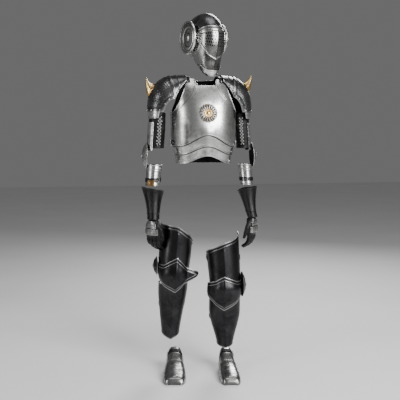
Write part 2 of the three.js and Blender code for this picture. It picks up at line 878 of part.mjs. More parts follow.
// Point round a leg: turn is 0 in front and 90 degrees on the outer side
function legPoint(leg, up, turn, lift) {
  const half = read(leg.rows, 'up', up, 'half') + lift;
  const depth = read(leg.rows, 'up', up, Math.cos(turn) > 0 ? 'front' : 'back') + lift;
  const point = new THREE.Vector3(leg.sign * half * Math.sin(turn), -depth * Math.cos(turn), 0);
  point.applyAxisAngle(new THREE.Vector3(0, 0, 1), leg.yaw);
  point.x += leg.sign * read(leg.rows, 'up', up, 'out');
  point.y += read(leg.rows, 'up', up, 'depth');
  point.z = up;
  return point;
}

function legMiddle(leg, up) {
  const point = legPoint(leg, up, 0, 0);
  const back = legPoint(leg, up, Math.PI, 0);
  return point.add(back).multiplyScalar(0.5);
}

// Columns of the leg plates, and how far each plate reaches from the front towards both sides.
// The knee plate goes further round on the outer side.
const plateColumns = 14;
const outerReach = 1.25;
const legReach = { cuisse: 100 * degree, poleyn: 78 * degree, greave: 118 * degree };
const poleynDome = 20;
const poleynGap = 0.6;
const legStrap = { width: 26, gap: 0.95 };
// Side wing of the knee: a lens on a short hub that sits on the knee plate
const wingHub = { share: 1 / 3, reach: 0.1, seat: 4.8, rim: 10, dome: 20, depth: 42 };

// Foot: rows from the ankle to the toe, as distance forward, half width and height
const footRows = [
  { forward: -30, half: 38, high: 112 },
  { forward: 0, half: 38, high: 112 },
  { forward: 34, half: 41, high: 100 },
  { forward: 70, half: 46, high: 80 },
  { forward: 112, half: 53, high: 62 },
  { forward: 160, half: 56, high: 50 },
  { forward: 205, half: 55, high: 43 },
  { forward: 236, half: 49, high: 34 },
  { forward: 248, half: 41, high: 20 },
  { forward: 252, half: 36, high: 8 },
];
const footSquareness = 0.6;
const footDepth = 50;
const soleGap = 2;
const footReach = 90 * degree;
const footPlate = { start: 56, end: 252 };
const anklePlate = { start: -8, end: 88 };

function footPoint(leg, forward, turn, lift) {
  const half = (read(footRows, 'forward', forward, 'half') + lift) * leg.foot.wide;
  const high = read(footRows, 'forward', forward, 'high') + lift - soleGap;
  const point = new THREE.Vector3(
    half * power(Math.sin(turn), footSquareness),
    -forward,
    soleGap + high * power(Math.cos(turn), footSquareness),
  );
  point.applyAxisAngle(new THREE.Vector3(0, 0, 1), leg.foot.yaw);
  point.x += leg.sign * leg.foot.out;
  point.y += leg.foot.depth;
  return point;
}

for (const leg of legs) {
  const tag = leg.name;
  const edge = (rows, turn, reach) => readStraight(rows, 'turn', turn / reach, 'up');

  plate({
    name: `cuisse_${tag}`,
    material: finish.dark,
    at: (u, v) => {
      const turn = mix(-legReach.cuisse, legReach.cuisse, u);
      return legPoint(leg, mix(leg.cuisse.low, edge(leg.cuisse.high, turn, legReach.cuisse), v), turn, 0);
    },
    inside: legMiddle(leg, leg.thighStrap),
    across: 14,
    along: 3,
  });
  plate({
    name: `poleyn_${tag}`,
    material: finish.dark,
    at: (u, v) => {
      const turn = mix(-legReach.poleyn, outerReach * legReach.poleyn, u);
      const low = edge(leg.poleyn.low, turn, legReach.poleyn);
      const high = edge(leg.poleyn.high, turn, legReach.poleyn);
      const dome = poleynDome * Math.max(0, Math.cos(turn)) * (1 - (2 * v - 1) ** 2);
      const flare = leg.flare * ease((-turn / legReach.poleyn - 0.55) / 0.45);
      return legPoint(leg, mix(low, high, v), turn, layer + poleynGap + dome + flare);
    },
    inside: legMiddle(leg, leg.wing.up),
    across: 14,
    along: 5,
  });
  plate({
    name: `greave_${tag}`,
    material: finish.dark,
    at: (u, v) => {
      const turn = mix(-legReach.greave, legReach.greave, u);
      return legPoint(leg, mix(edge(leg.greave.low, turn, legReach.greave), leg.greave.high, v), turn, 0);
    },
    inside: legMiddle(leg, leg.calfStrap),
    across: 14,
    along: 4,
  });
  plate({
    name: `poleyn_wing_${tag}`,
    material: finish.dark,
    at: (u, v) => {
      const turn = u * fullTurn;
      const onHub = v < wingHub.share;
      const reach = onHub ? wingHub.reach : mix(wingHub.reach, 1, (v - wingHub.share) / (1 - wingHub.share));
      const up = leg.wing.up + leg.wing.half * reach * Math.sin(turn);
      const crown = wingHub.rim + wingHub.dome * (1 - reach * reach);
      const lift = onHub ? mix(wingHub.seat, crown, v / wingHub.share) : crown;
      const point = legPoint(leg, up, 90 * degree, lift);
      point.y += wingHub.depth * reach * Math.cos(turn);
      return point;
    },
    inside: legMiddle(leg, leg.wing.up),
    across: 14,
    along: 3,
    closed: true,
  });
  for (const [name, up, from] of [
    ['thigh_strap', leg.thighStrap, legReach.cuisse],
    ['calf_strap', leg.calfStrap, legReach.greave],
  ]) {
    const lap = 2 * from / plateColumns;
    plate({
      name: `${name}_${tag}`,
      material: finish.leather,
      at: (u, v) => {
        const turn = mix(from - lap, fullTurn - from + lap, u);
        return legPoint(leg, up + (v - 0.5) * legStrap.width, turn, leatherWall + legStrap.gap);
      },
      inside: legMiddle(leg, up),
      across: 12,
      along: 1,
      wall: leatherWall,
    });
  }
  plate({
    name: `sabaton_${tag}`,
    material: finish.bright,
    at: (u, v) => footPoint(leg, mix(footPlate.start, footPlate.end, v), mix(-footReach, footReach, u), 0),
    inside: footPoint(leg, footPlate.start, 0, -footDepth),
    across: 10,
    along: 6,
  });
  plate({
    name: `sabaton_ankle_${tag}`,
    material: finish.bright,
    at: (u, v) => {
      const turn = mix(-footReach, footReach, u);
      return footPoint(leg, mix(anklePlate.start, anklePlate.end, v), turn, layer + seam);
    },
    inside: footPoint(leg, 0, 0, -footDepth),
    across: 10,
    along: 3,
  });
}

for (const side of sides) {
  const tag = side.name;
  const shoulderInside = new THREE.Vector3(side.sign * 190, pauldronDepth, 1440);

  // Dome, with the lame by the neck tucked under it and the lame below it
  plate({
    name: `pauldron_${tag}`,
    material: finish.dark,
    at: (u, v) => pauldronPoint(side, mix(1.55, 5.85, v), mix(-ribReach, ribReach, u), 0),
    inside: shoulderInside,
    across: 12,
    along: 7,
  });
  plate({
    name: `pauldron_neck_lame_${tag}`,
    material: finish.dark,
    at: (u, v) => pauldronPoint(side, mix(0, 1.8, v), mix(-ribReach, ribReach, u), -layer - neckLameGap),
    inside: shoulderInside,
    across: 12,
    along: 2,
  });
  plate({
    name: `pauldron_lower_lame_${tag}`,
    material: finish.bright,
    at: (u, v) => pauldronPoint(side, mix(5.6, 6.6, v), mix(-0.8, 0.8, u) * ribReach, -layer - lowerLameGap),
    inside: shoulderInside,
    across: 12,
    along: 2,
  });

  // Gilt horn on the outer shoulder, its foot on the dome and its tip turned up
  const horn = horns[tag];
  const tilt = read(pauldron, 'rib', horn.rib, 'tilt') * degree;
  const facing = new THREE.Vector3(side.sign * Math.sin(tilt), 0, Math.cos(tilt));
  const along = new THREE.Vector3(side.sign * Math.cos(tilt), 0, -Math.sin(tilt));
  const hornRings = hornRows.map((row) => {
    const ring = [];
    for (let i = 0; i < hornCorners; i += 1) {
      const turn = (i / hornCorners) * fullTurn;
      const reach = horn.radius * row.radius;
      const rib = horn.rib + reach * Math.cos(turn) / ribSpacing;
      const swing = 0.8 * reach * Math.sin(turn) / read(pauldron, 'rib', rib, 'spread');
      const foot = pauldronPoint(side, rib, swing, 0.9);
      const free = pauldronPoint(side, horn.rib, 0, 0)
        .addScaledVector(facing, row.out * horn.size)
        .addScaledVector(along, horn.lean * row.lean + reach * Math.cos(turn))
        .add(new THREE.Vector3(0, -0.8 * reach * Math.sin(turn), 0));
      ring.push(row.out > 0 ? free : foot);
    }
    return ring;
  });
  const hornSolid = loftSolid(hornRings);
  addMesh(`horn_${tag}`, finish.gilt, hornSolid.points, hornSolid.faces);

  // Upper arm: leather sleeve and outer plate
  plate({
    name: `arm_sleeve_${tag}`,
    material: finish.leather,
    at: (u, v) => armPoint(side, mix(sleeve.low, sleeve.high, v), u * fullTurn, 0),
    inside: armInside(side, sleeve.low),
    across: 14,
    along: 3,
    wall: leatherWall,
    closed: true,
  });
  plate({
    name: `rerebrace_${tag}`,
    material: finish.bright,
    at: (u, v) => {
      const turn = mix(-rerebrace.reach, rerebrace.reach, u);
      return armPoint(side, mix(rerebrace.low, rerebrace.high, v), turn, layer + seam);
    },
    inside: armInside(side, rerebrace.low),
    across: 8,
    along: 3,
  });

  // Elbow disc: a lens on the outside of the joint, its rim over the plates above and below
  plate({
    name: `couter_${tag}`,
    material: finish.bright,
    at: (u, v) => {
      const turn = u * fullTurn;
      const reach = mix(couter.hole, 1, v);
      const up = couter.up + couter.half * reach * Math.sin(turn);
      const point = armPoint(side, up, 0, 2 * layer + 0.5);
      point.x += side.sign * couter.dome * (1 - reach * reach);
      point.y += couter.depth * reach * Math.cos(turn);
      return point;
    },
    inside: new THREE.Vector3(0, 0, couter.up),
    across: 16,
    along: 3,
    closed: true,
  });

  // Forearm plate
  plate({
    name: `vambrace_${tag}`,
    material: finish.bright,
    at: (u, v) => armPoint(side, mix(vambrace.low, vambrace.high, v), u * fullTurn, layer + seam),
    inside: armInside(side, vambrace.low),
    across: 14,
    along: 3,
    closed: true,
  });

  // Glove: a flared cuff over the forearm, then the hand
  plate({
    name: `glove_cuff_${tag}`,
    material: finish.leather,
    at: (u, v) => {
      const turn = u * fullTurn;
      const facing = Math.cos(turn - cuff.pointTurn);
      const high = cuff.high + cuff.point * facing * Math.abs(facing);
      const up = mix(cuff.low, high, v);
      return armPoint(side, up, turn, mix(cuff.snug, cuff.flare, v * v));
    },
    inside: armInside(side, cuff.low),
    across: 14,
    along: 3,
    wall: leatherWall,
    closed: true,
  });
  addGlove(side);
}

export default suit;
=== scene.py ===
# Suit of plate armour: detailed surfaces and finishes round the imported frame.
# Tables are in millimetres above the soles, as in the CAD, and meshes are made in metres.
import math
from collections import namedtuple

import bmesh
import bpy
import numpy as np
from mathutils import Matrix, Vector
from mathutils.kdtree import KDTree


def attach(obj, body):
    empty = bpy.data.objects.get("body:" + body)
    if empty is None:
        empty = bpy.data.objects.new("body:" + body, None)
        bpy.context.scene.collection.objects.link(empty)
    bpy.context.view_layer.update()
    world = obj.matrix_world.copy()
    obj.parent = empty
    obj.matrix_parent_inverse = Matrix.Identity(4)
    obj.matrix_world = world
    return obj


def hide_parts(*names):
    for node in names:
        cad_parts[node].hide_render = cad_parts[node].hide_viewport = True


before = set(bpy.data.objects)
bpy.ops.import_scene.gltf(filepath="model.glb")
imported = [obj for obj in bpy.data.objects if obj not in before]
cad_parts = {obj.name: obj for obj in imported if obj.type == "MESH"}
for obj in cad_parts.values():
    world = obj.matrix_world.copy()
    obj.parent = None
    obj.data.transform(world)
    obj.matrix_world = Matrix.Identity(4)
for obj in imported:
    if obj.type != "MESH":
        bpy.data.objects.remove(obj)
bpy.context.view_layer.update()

SHOULDER_LINE = 1500
STEEL_WALL = 2
LEATHER_WALL = 2.6
SEAM = 0.4
LAYER = STEEL_WALL + SEAM
DEGREE = math.pi / 180
FULL_TURN = 2 * math.pi
ALL_ROUND = (0, FULL_TURN)
SUIT = "suit"
VISOR = "visor"

# Camera at the photograph's angle, in metres
CAMERA_AZIMUTH = -12 * DEGREE
CAMERA_DISTANCE = 3.4
CAMERA_HEIGHT = 1.225
CAMERA_PITCH = 5.31 * DEGREE
CAMERA_SHIFT_PIXELS = -3
FOCAL_PIXELS = 645
IMAGE_PIXELS = 400
SENSOR = 36


def link(obj):
    bpy.context.scene.collection.objects.link(obj)
    return obj


def add_camera():
    data = bpy.data.cameras.new("camera")
    data.sensor_width = SENSOR
    data.lens = FOCAL_PIXELS / IMAGE_PIXELS * SENSOR
    data.shift_x = CAMERA_SHIFT_PIXELS / IMAGE_PIXELS
    camera = link(bpy.data.objects.new("camera", data))
    camera.location = (
        math.sin(CAMERA_AZIMUTH) * CAMERA_DISTANCE,
        -math.cos(CAMERA_AZIMUTH) * CAMERA_DISTANCE,
        CAMERA_HEIGHT - SHOULDER_LINE / 1000,
    )
    camera.rotation_euler = (math.pi / 2 - CAMERA_PITCH, 0, CAMERA_AZIMUTH)
    bpy.context.scene.camera = camera


add_camera()


# Numbers and tables
def mix(a, b, t):
    return a + (b - a) * t


def limit(t):
    return np.clip(t, 0, 1)


def ease(t):
    t = limit(t)
    return t * t * (3 - 2 * t)


def power(t, exponent):
    return np.sign(t) * np.abs(t) ** exponent


# Width of an engraved line
LINE = 1.6


def near(value, place, width=LINE):
    """1 where the value is at the place, and falling to 0 over the width on both sides."""
    return np.exp(-((value - place) / width) ** 2)


def turn_from(turn, start):
    """Signed angle from a start, at most half a turn each way."""
    return (turn - start + math.pi) % FULL_TURN - math.pi


def circle(count):
    return np.arange(count) / count * FULL_TURN


def table(columns, *rows):
    names = columns.split()
    data = {name: np.array([row[i] for row in rows], float) for i, name in enumerate(names)}
    data["key"] = data[names[0]]
    return data


def read(data, value, column):
    """Smooth value of a column at a value of the table's first column."""
    keys, values = data["key"], data[column]
    last = len(keys) - 1
    value = np.asarray(value, float)
    index = np.clip(np.searchsorted(keys, value) - 1, 0, last - 1)
    before = np.maximum(index - 1, 0)
    after = np.minimum(index + 2, last)
    gap = keys[index + 1] - keys[index]
    t = limit((value - keys[index]) / gap)
    start, end = values[index], values[index + 1]
    slope_start = gap * (end - values[before]) / (keys[index + 1] - keys[before])
    slope_end = gap * (values[after] - start) / (keys[after] - keys[index])
    return curve(start, slope_start, end, slope_end, t)


def curve(start, slope_start, end, slope_end, t):
    """Cubic Hermite curve."""
    t2, t3 = t * t, t * t * t
    return ((2 * t3 - 3 * t2 + 1) * start + (t3 - 2 * t2 + t) * slope_start
            + (3 * t2 - 2 * t3) * end + (t3 - t2) * slope_end)


def read_straight(data, value, column):
    return np.interp(value, data["key"], data[column])


def stack(x, y, z):
    x, y, z = np.broadcast_arrays(x, y, z)
    return np.stack([x, y, z], axis=-1).astype(float)


def turned(points, angle, offset):
    cos, sin = math.cos(angle), math.sin(angle)
    x, y, z = points[..., 0], points[..., 1], points[..., 2]
    return stack(x * cos - y * sin + offset[0], x * sin + y * cos + offset[1], z + offset[2])


def metres(points):
    return (np.asarray(points, float) - np.array([0, 0, SHOULDER_LINE])) / 1000


def unit(vectors):
    length = np.linalg.norm(vectors, axis=-1, keepdims=True)
    return vectors / np.maximum(length, 1e-9)


def level_way(vectors):
    """Unit vectors with no rise."""
    return unit(vectors * np.array([1, 1, 0]))


def steps_along(path):
    return np.linalg.norm(np.diff(path, axis=0), axis=-1)


# Finishes
Finish = namedtuple("Finish", "material slot")


def set_input(tree, socket, value):
    if isinstance(value, bpy.types.NodeSocket):
        tree.links.new(value, socket)
    else:
        socket.default_value = value


def add_node(tree, kind, settings=None, **inputs):
    node = tree.nodes.new(kind)
    for key, value in (settings or {}).items():
        setattr(node, key, value)
    for key, value in inputs.items():
        set_input(tree, node.inputs[key.replace("_", " ")], value)
    return node


def ramp(tree, source, *stops):
    node = add_node(tree, "ShaderNodeValToRGB", Fac=source)
    elements = node.color_ramp.elements
    for element, (position, value) in zip(elements, stops):
        element.position = position
        element.color = (value, value, value, 1)
    return node.outputs["Color"]


def blend_colour(tree, share, first, second):
    colours = {"Color1": first, "Color2": second}
    for key, colour in colours.items():
        if isinstance(colour, tuple):
            colours[key] = (*colour, 1)
    return add_node(tree, "ShaderNodeMixRGB", {"blend_type": "MIX"}, Fac=share, **colours).outputs["Color"]


def noise(tree, place, scale, detail, roughness, distortion=0.0):
    return add_node(tree, "ShaderNodeTexNoise", Vector=place, Scale=scale, Detail=detail,
                    Roughness=roughness, Distortion=distortion).outputs["Fac"]


def stretched(tree, place, scale):
    return add_node(tree, "ShaderNodeMapping", Vector=place, Scale=scale).outputs["Vector"]


def mark(tree, name):
    return add_node(tree, "ShaderNodeAttribute", {"attribute_name": name}).outputs["Fac"]


def multiply(tree, first, second):
    node = add_node(tree, "ShaderNodeMath", {"operation": "MULTIPLY", "use_clamp": True})
    for socket, value in zip(node.inputs, (first, second)):
        set_input(tree, socket, value)
    return node.outputs[0]


def scaled(colour, factor):
    return tuple(min(1.0, channel * factor) for channel in colour)


def start_finish(name):
    material = bpy.data.materials.new(name)
    material.use_nodes = True
    tree = material.node_tree
    place = tree.nodes.new("ShaderNodeTexCoord").outputs["Object"]
    return material, tree, tree.nodes["Principled BSDF"], place


def end_finish(tree, shader, colour, roughness, height, strength, distance):
    bump = add_node(tree, "ShaderNodeBump", Height=height, Strength=strength, Distance=distance)
    tree.links.new(colour, shader.inputs["Base Color"])
    tree.links.new(roughness, shader.inputs["Roughness"])
    tree.links.new(bump.outputs["Normal"], shader.inputs["Normal"])


# Strength and depth of the bump, in metres
METAL_BUMP = {"strength": 0.22, "distance": 0.0012}
LEATHER_BUMP = {"strength": 0.28, "distance": 0.0011}
LEATHER_SPECULAR = 0.25
DIRT_ROUGHNESS = (0.8, 0.8, 0.8)


def metal(name, slot, light, shade, dirt_and_shade_colour, cloud, smooth, rough, patina=0.5, rub=0.5, pits=0.3, edge=None):
    """Hand-finished metal: cloudy patina, rubbed edges, dark grooves, painted shade, fine scratches and small
    pits.

    light and shade are the polished and dulled colours, the third colour that of dirt in pits and dark lines
    and of painted shade and painted dark reflections, cloud the scale of the patina, smooth and rough the
    range of the roughness, and edge the colour of the rubbed borders.
    """
    material, tree, shader, place = start_finish(name)
    broad = noise(tree, place, cloud, 5.0, 0.62, 0.6)
    fine = noise(tree, place, cloud * 9, 6.0, 0.7, 0.3)
    mottled = blend_colour(tree, 0.32, broad, fine)
    tarnish = ramp(tree, mottled, (0.53 - 0.16 * patina, 0.0), (0.6, 1.0))
    colour = blend_colour(tree, tarnish, light, shade)
    speckle = ramp(tree, noise(tree, place, cloud * 26, 3.0, 0.55), (0.63, 0.0), (0.72, 1.0))
    colour = blend_colour(tree, multiply(tree, speckle, pits), colour, dirt_and_shade_colour)
    rubbed = multiply(tree, mark(tree, "border"), rub)
    colour = blend_colour(tree, rubbed, colour, edge or scaled(light, 1.15))
    # This mark darkens engraved lines with the dirt colour, and also holds painted shade between and under
    # parts and painted dark reflections.
    dark_line_and_shade_share = ramp(tree, mark(tree, "dark_lines_and_painted_shade"), (0.15, 0.0), (0.8, 1.0))
    colour = blend_colour(tree, dark_line_and_shade_share, colour, dirt_and_shade_colour)
    shader.inputs["Metallic"].default_value = 1.0
    scratch = noise(tree, stretched(tree, place, (30, 30, 260)), 6.0, 4.0, 0.6)
    gloss = ramp(tree, blend_colour(tree, 0.35, tarnish, scratch), (0.0, smooth), (1.0, rough))
    gloss = blend_colour(tree, dark_line_and_shade_share, gloss, DIRT_ROUGHNESS)
    dents = noise(tree, place, 24.0, 2.0, 0.5)
    grain = blend_colour(tree, 0.25, dents, blend_colour(tree, 0.5, scratch, fine))
    end_finish(tree, shader, colour, gloss, grain, **METAL_BUMP)
    return Finish(material, slot)


def leather(name, base, worn, gloss=0.34):
    """Black leather: pebbled grain, creases and scuffed edges."""
    material, tree, shader, place = start_finish(name)
    creases = noise(tree, stretched(tree, place, (60, 60, 110)), 1.0, 5.0, 0.65, 0.8)
    cells = add_node(tree, "ShaderNodeTexVoronoi", {"feature": "DISTANCE_TO_EDGE"}, Vector=place,
                     Scale=620.0).outputs["Distance"]
    pebble = ramp(tree, cells, (0.0, 0.0), (0.25, 1.0))
    patch = ramp(tree, noise(tree, place, 14.0, 5.0, 0.6), (0.42, 0.0), (0.75, 1.0))
    colour = blend_colour(tree, patch, base, worn)
    scuffed = multiply(tree, mark(tree, "border"), 0.5)
    colour = blend_colour(tree, scuffed, colour, scaled(worn, 2.4))
    # Darker where the mark lies: dark seam and hem lines, and painted shade in the glove's finger creases and
    # the sleeve's slit.
    colour = blend_colour(tree, mark(tree, "dark_lines_and_painted_shade"), colour, scaled(base, 0.3))
    rough = ramp(tree, blend_colour(tree, 0.5, creases, patch), (0.2, gloss), (0.8, gloss + 0.26))
    shader.inputs["Specular IOR Level"].default_value = LEATHER_SPECULAR
    end_finish(tree, shader, colour, rough, blend_colour(tree, 0.45, creases, pebble), **LEATHER_BUMP)
    return Finish(material, "black_leather")


bright_steel = metal("bright_steel_antique", "bright_steel", (0.74, 0.74, 0.73), (0.24, 0.235, 0.23),
                     (0.025, 0.024, 0.022), 6.0, 0.2, 0.42, patina=0.62, pits=0.4)
helmet_steel = metal("helmet_steel_antique", "bright_steel", (0.42, 0.42, 0.415), (0.075, 0.073, 0.07),
                     (0.014, 0.013, 0.012), 12.0, 0.17, 0.36, patina=1.0, rub=0.7, pits=0.6,
                     edge=(0.8, 0.8, 0.79))
foot_steel = metal("foot_steel_antique", "bright_steel", (0.42, 0.42, 0.415), (0.11, 0.108, 0.105),
                   (0.015, 0.014, 0.013), 10.0, 0.2, 0.4, patina=0.8, pits=0.5)
pewter = metal("dark_pewter", "dark_steel", (0.22, 0.22, 0.225), (0.035, 0.035, 0.037),
               (0.008, 0.008, 0.009), 15.0, 0.18, 0.4, patina=1.0, pits=0.5, edge=(0.5, 0.5, 0.5))
skull_pewter = pewter._replace(slot="bright_steel")
gunmetal = metal("gunmetal", "dark_steel", (0.042, 0.042, 0.044), (0.018, 0.018, 0.0195),
                 (0.004, 0.004, 0.0045), 11.0, 0.28, 0.42, patina=0.8, rub=0.75, pits=0.4,
                 edge=(0.5, 0.5, 0.51))
rosette_steel = metal("rosette_steel", "bright_steel", (0.52, 0.5, 0.47), (0.2, 0.18, 0.15),
                      (0.06, 0.038, 0.015), 20.0, 0.22, 0.42, rub=0.4, pits=0.2)
gilt = metal("aged_gilt", "gilt", (0.86, 0.6, 0.26), (0.42, 0.24, 0.07), (0.07, 0.04, 0.015), 18.0,
             0.2, 0.42, edge=(1.0, 0.86, 0.6))
brass = metal("brown_brass", "gilt", (0.36, 0.22, 0.09), (0.11, 0.06, 0.028), (0.03, 0.02, 0.01), 30.0,
              0.28, 0.5, patina=0.8, rub=0.4, pits=0.5)
# Near-black steel for the insides of the shells and the breastplate's border lines: painted shade.
shade_black = metal("painted_shade_black", "bright_steel", (0.03, 0.03, 0.032), (0.014, 0.014, 0.015),
                  (0.006, 0.006, 0.007), 20.0, 0.5, 0.7, patina=0.6, rub=0.2)
black_leather = leather("black_leather_worn", (0.003, 0.003, 0.0033), (0.008, 0.008, 0.0085))
cuff_leather = leather("cuff_leather_glossy", (0.003, 0.003, 0.0034), (0.009, 0.009, 0.01), 0.24)
thread = leather("dark_thread", (0.05, 0.048, 0.045), (0.09, 0.088, 0.08), 0.6)
lace = leather("grey_lace", (0.2, 0.2, 0.195), (0.34, 0.34, 0.33), 0.45)


# Surfaces
GATHER = 0.55
BORDER_WEAR = 5
ALL_SIDES = ("low", "high", "left", "right")
# Columns and rows of the grid of each piece
GRIDS = {
    "breastplate": (120, 76), "backplate": (88, 56), "waist_lame": (100, 12), "skull": (76, 84),
    "brow": (80, 12), "visor": (104, 50), "lower_face": (96, 38), "chin": (64, 10), "neck_guard": (56, 42),
    "pauldron": (122, 98), "neck_lame": (84, 34), "lower_lame": (72, 30), "sleeve": (96, 52),
    "rerebrace": (48, 60), "couter": (84, 36), "vambrace": (88, 42), "vambrace_strap": (80, 6),
    "patch": (28, 16), "hand_plate": (44, 28), "cuff": (96, 50), "cuisse": (80, 64), "poleyn": (100, 70),
    "wing": (72, 40), "greave": (70, 64), "leg_strap": (72, 6), "sabaton": (62, 82), "ankle": (66, 40),
    "foot_strap": (60, 6), "shoulder_strap": (6, 60), "side_strap": (44, 6),
}
# Row along the middle of a strap
STRAP_ROW = 3


def gathered(share, gather):
    """Shares from 0 to 1 that lie closer together near both ends."""
    return share - gather * np.sin(FULL_TURN * share) / FULL_TURN


class Surface:
    """A grid of points at(u, v) in millimetres, with normals that face away from a point inside.

    Its rows and columns lie closer together near the borders, by the share gather.
    """

    def __init__(self, at, inside, grid, closed=False, gather=GATHER):
        across, along = GRIDS[grid]
        self.closed = closed
        columns = across if closed else across + 1
        shares = np.arange(columns) / across
        if not closed:
            shares = gathered(shares, gather)
        self.u, self.v = np.meshgrid(shares, gathered(np.linspace(0, 1, along + 1), gather))
        self.points = at(self.u, self.v)
        if closed:
            right = np.roll(self.points, -1, axis=1) - np.roll(self.points, 1, axis=1)
        else:
            right = np.gradient(self.points, axis=1)
        normal = unit(np.cross(right, np.gradient(self.points, axis=0)))
        row, column = along // 2, columns // 2
        outward = self.points[row, column] - np.asarray(inside, float)
        self.flip = np.dot(normal[row, column], outward) < 0
        self.normal = -normal if self.flip else normal

    def distance(self, *sides):
        """Distance of each point from the named borders."""
        grid = self.points
        borders = {"low": grid[0], "high": grid[-1], "left": grid[:, 0], "right": grid[:, -1]}
        lines = []
        for side in sides:
            line = borders[side]
            lines.extend([line, (line[1:] + line[:-1]) / 2])
        line = np.concatenate(lines)
        tree = KDTree(len(line))
        for index, point in enumerate(line.tolist()):
            tree.insert(point, index)
        tree.balance()
        found = [tree.find(point)[2] for point in grid.reshape(-1, 3).tolist()]
        return np.array(found).reshape(self.u.shape)

    def all_sides(self):
        return ALL_SIDES[:2] if self.closed else ALL_SIDES

    def faces(self):
        rows, columns = self.u.shape
        i = np.arange(columns if self.closed else columns - 1)
        i, j = np.meshgrid(i, np.arange(rows - 1))
        a = j * columns + i
        b = j * columns + (i + 1) % columns
        quads = np.stack([a, b, b + columns, a + columns], axis=-1).reshape(-1, 4)
        return quads[:, ::-1] if self.flip else quads


def span(point, low, high, turns, inside, grid, gather=GATHER):
    """Surface of point(way, turn, v) between a low and a high border, over a range of turns.

    A border is a way or a function of the turn. The surface keeps the way and the turn of its points.
    """
    def place(u, v):
        turn = mix(*turns, u)
        low_way, high_way = (border(turn) if callable(border) else border for border in (low, high))
        return mix(low_way, high_way, v), turn

    surface = Surface(lambda u, v: point(*place(u, v), v), inside, grid, turns == ALL_ROUND, gather)
    surface.way, surface.turn = place(surface.u, surface.v)
    return surface


def on_surface(surface, u, v, lift=0.0):
    """Point and outward normal of a surface at its grid point nearest to u, v."""
    i = int(np.argmin(np.abs(surface.u[0] - u)))
    j = int(np.argmin(np.abs(surface.v[:, 0] - v)))
    return surface.points[j, i] + surface.normal[j, i] * lift, surface.normal[j, i]


def spots(surface, shares_u, shares_v, lift=0.0):
    return [on_surface(surface, u, v, lift) for u in shares_u for v in shares_v]


def paint(mesh, marks):
    """Stores named values from 0 to 1 on the vertices, which the finishes read."""
    for name, values in marks.items():
        attribute = mesh.attributes.new(name, "FLOAT", "POINT")
        attribute.data.foreach_set("value", np.asarray(values, np.float32).ravel())


def shade_smooth(mesh):
    mesh.polygons.foreach_set("use_smooth", [True] * len(mesh.polygons))


def new_object(name, mesh, finish, body, nodes):
    obj = link(bpy.data.objects.new(name, mesh))
    mesh.materials.append(finish.material)
    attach(obj, body)
    if nodes:
        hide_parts(*nodes)
    return obj


def add_mesh(name, points, faces, finish, body=SUIT, nodes=(), marks=None):
    mesh = bpy.data.meshes.new(name)
    mesh.from_pydata(metres(points).reshape(-1, 3).tolist(), [], [list(map(int, face)) for face in faces])
    mesh.validate()
    paint(mesh, marks or {})
    work = bmesh.new()
    work.from_mesh(mesh)
    bmesh.ops.recalc_face_normals(work, faces=work.faces)
    work.to_mesh(mesh)
    work.free()
    shade_smooth(mesh)
    return new_object(name, mesh, finish, body, nodes)


def shell(name, surface, finish, wall=STEEL_WALL, body=SUIT, node=None, relief=0, dark_lines_and_painted_shade=0, border=None,
          bevel=0.5):
    """A wall of even thickness behind a surface, with rounded edges; the inside of steel is near-black, as
    painted shade.
    """
    if border is None:
        border = np.exp(-surface.distance(*surface.all_sides()) / BORDER_WEAR)
    shape = surface.u.shape
    surface.points = surface.points + surface.normal * np.broadcast_to(relief, shape)[..., None]
    mesh = bpy.data.meshes.new(name)
    mesh.from_pydata(metres(surface.points).reshape(-1, 3).tolist(), [], surface.faces().tolist())
    paint(mesh, {"border": limit(border), "dark_lines_and_painted_shade": np.broadcast_to(limit(dark_lines_and_painted_shade), shape)})
    shade_smooth(mesh)
    obj = new_object(name, mesh, finish, body, (node,) if node else ())
    # Steel gets the near-black finish on its inside: painted shade where the inner walls show.
    inner = finish if finish.slot == "black_leather" else shade_black
    mesh.materials.append(inner.material)
    solid = obj.modifiers.new("wall", "SOLIDIFY")
    solid.material_offset = 1
    solid.thickness = wall / 1000
    solid.offset = -1
    solid.use_even_offset = True
    solid.use_quality_normals = True
    if bevel:
        edge = obj.modifiers.new("edges", "BEVEL")
        edge.width = bevel / 1000
        edge.segments = 2
        edge.limit_method = "ANGLE"
        edge.angle_limit = 60 * DEGREE
    even = obj.modifiers.new("shading", "WEIGHTED_NORMAL")
    even.keep_sharp = True
    return obj


def plate(name, surface, finish, edge, rim_form, line, relief=0, dark_lines_and_painted_shade=0, **options):
    """A shell with a raised rim and an engraved line beside it.

    edge is the distance from the rimmed borders, rim_form the rim's height, reach and softness,
    and line the darkness of the line and its distance from the edge.
    """
    height, reach, softness = rim_form
    dark, place = line
    return shell(name, surface, finish, relief=height * ease((reach - edge) / softness) + relief,
                 dark_lines_and_painted_shade=dark * near(edge, place) + dark_lines_and_painted_shade, **options)


def ring_faces(rings, sides, closed=False, ends=True):
    """Faces between rings of points, and over both ends."""
    faces = []
    for j in range(rings if closed else rings - 1):
        after = (j + 1) % rings * sides
        for i in range(sides):
            beside = (i + 1) % sides
            faces.append([j * sides + i, j * sides + beside, after + beside, after + i])
    if ends and not closed:
        faces.append(list(range(sides))[::-1])
        faces.append([(rings - 1) * sides + i for i in range(sides)])
    return faces


TUBE_GUIDE = (0.31, 0.17, 0.93)


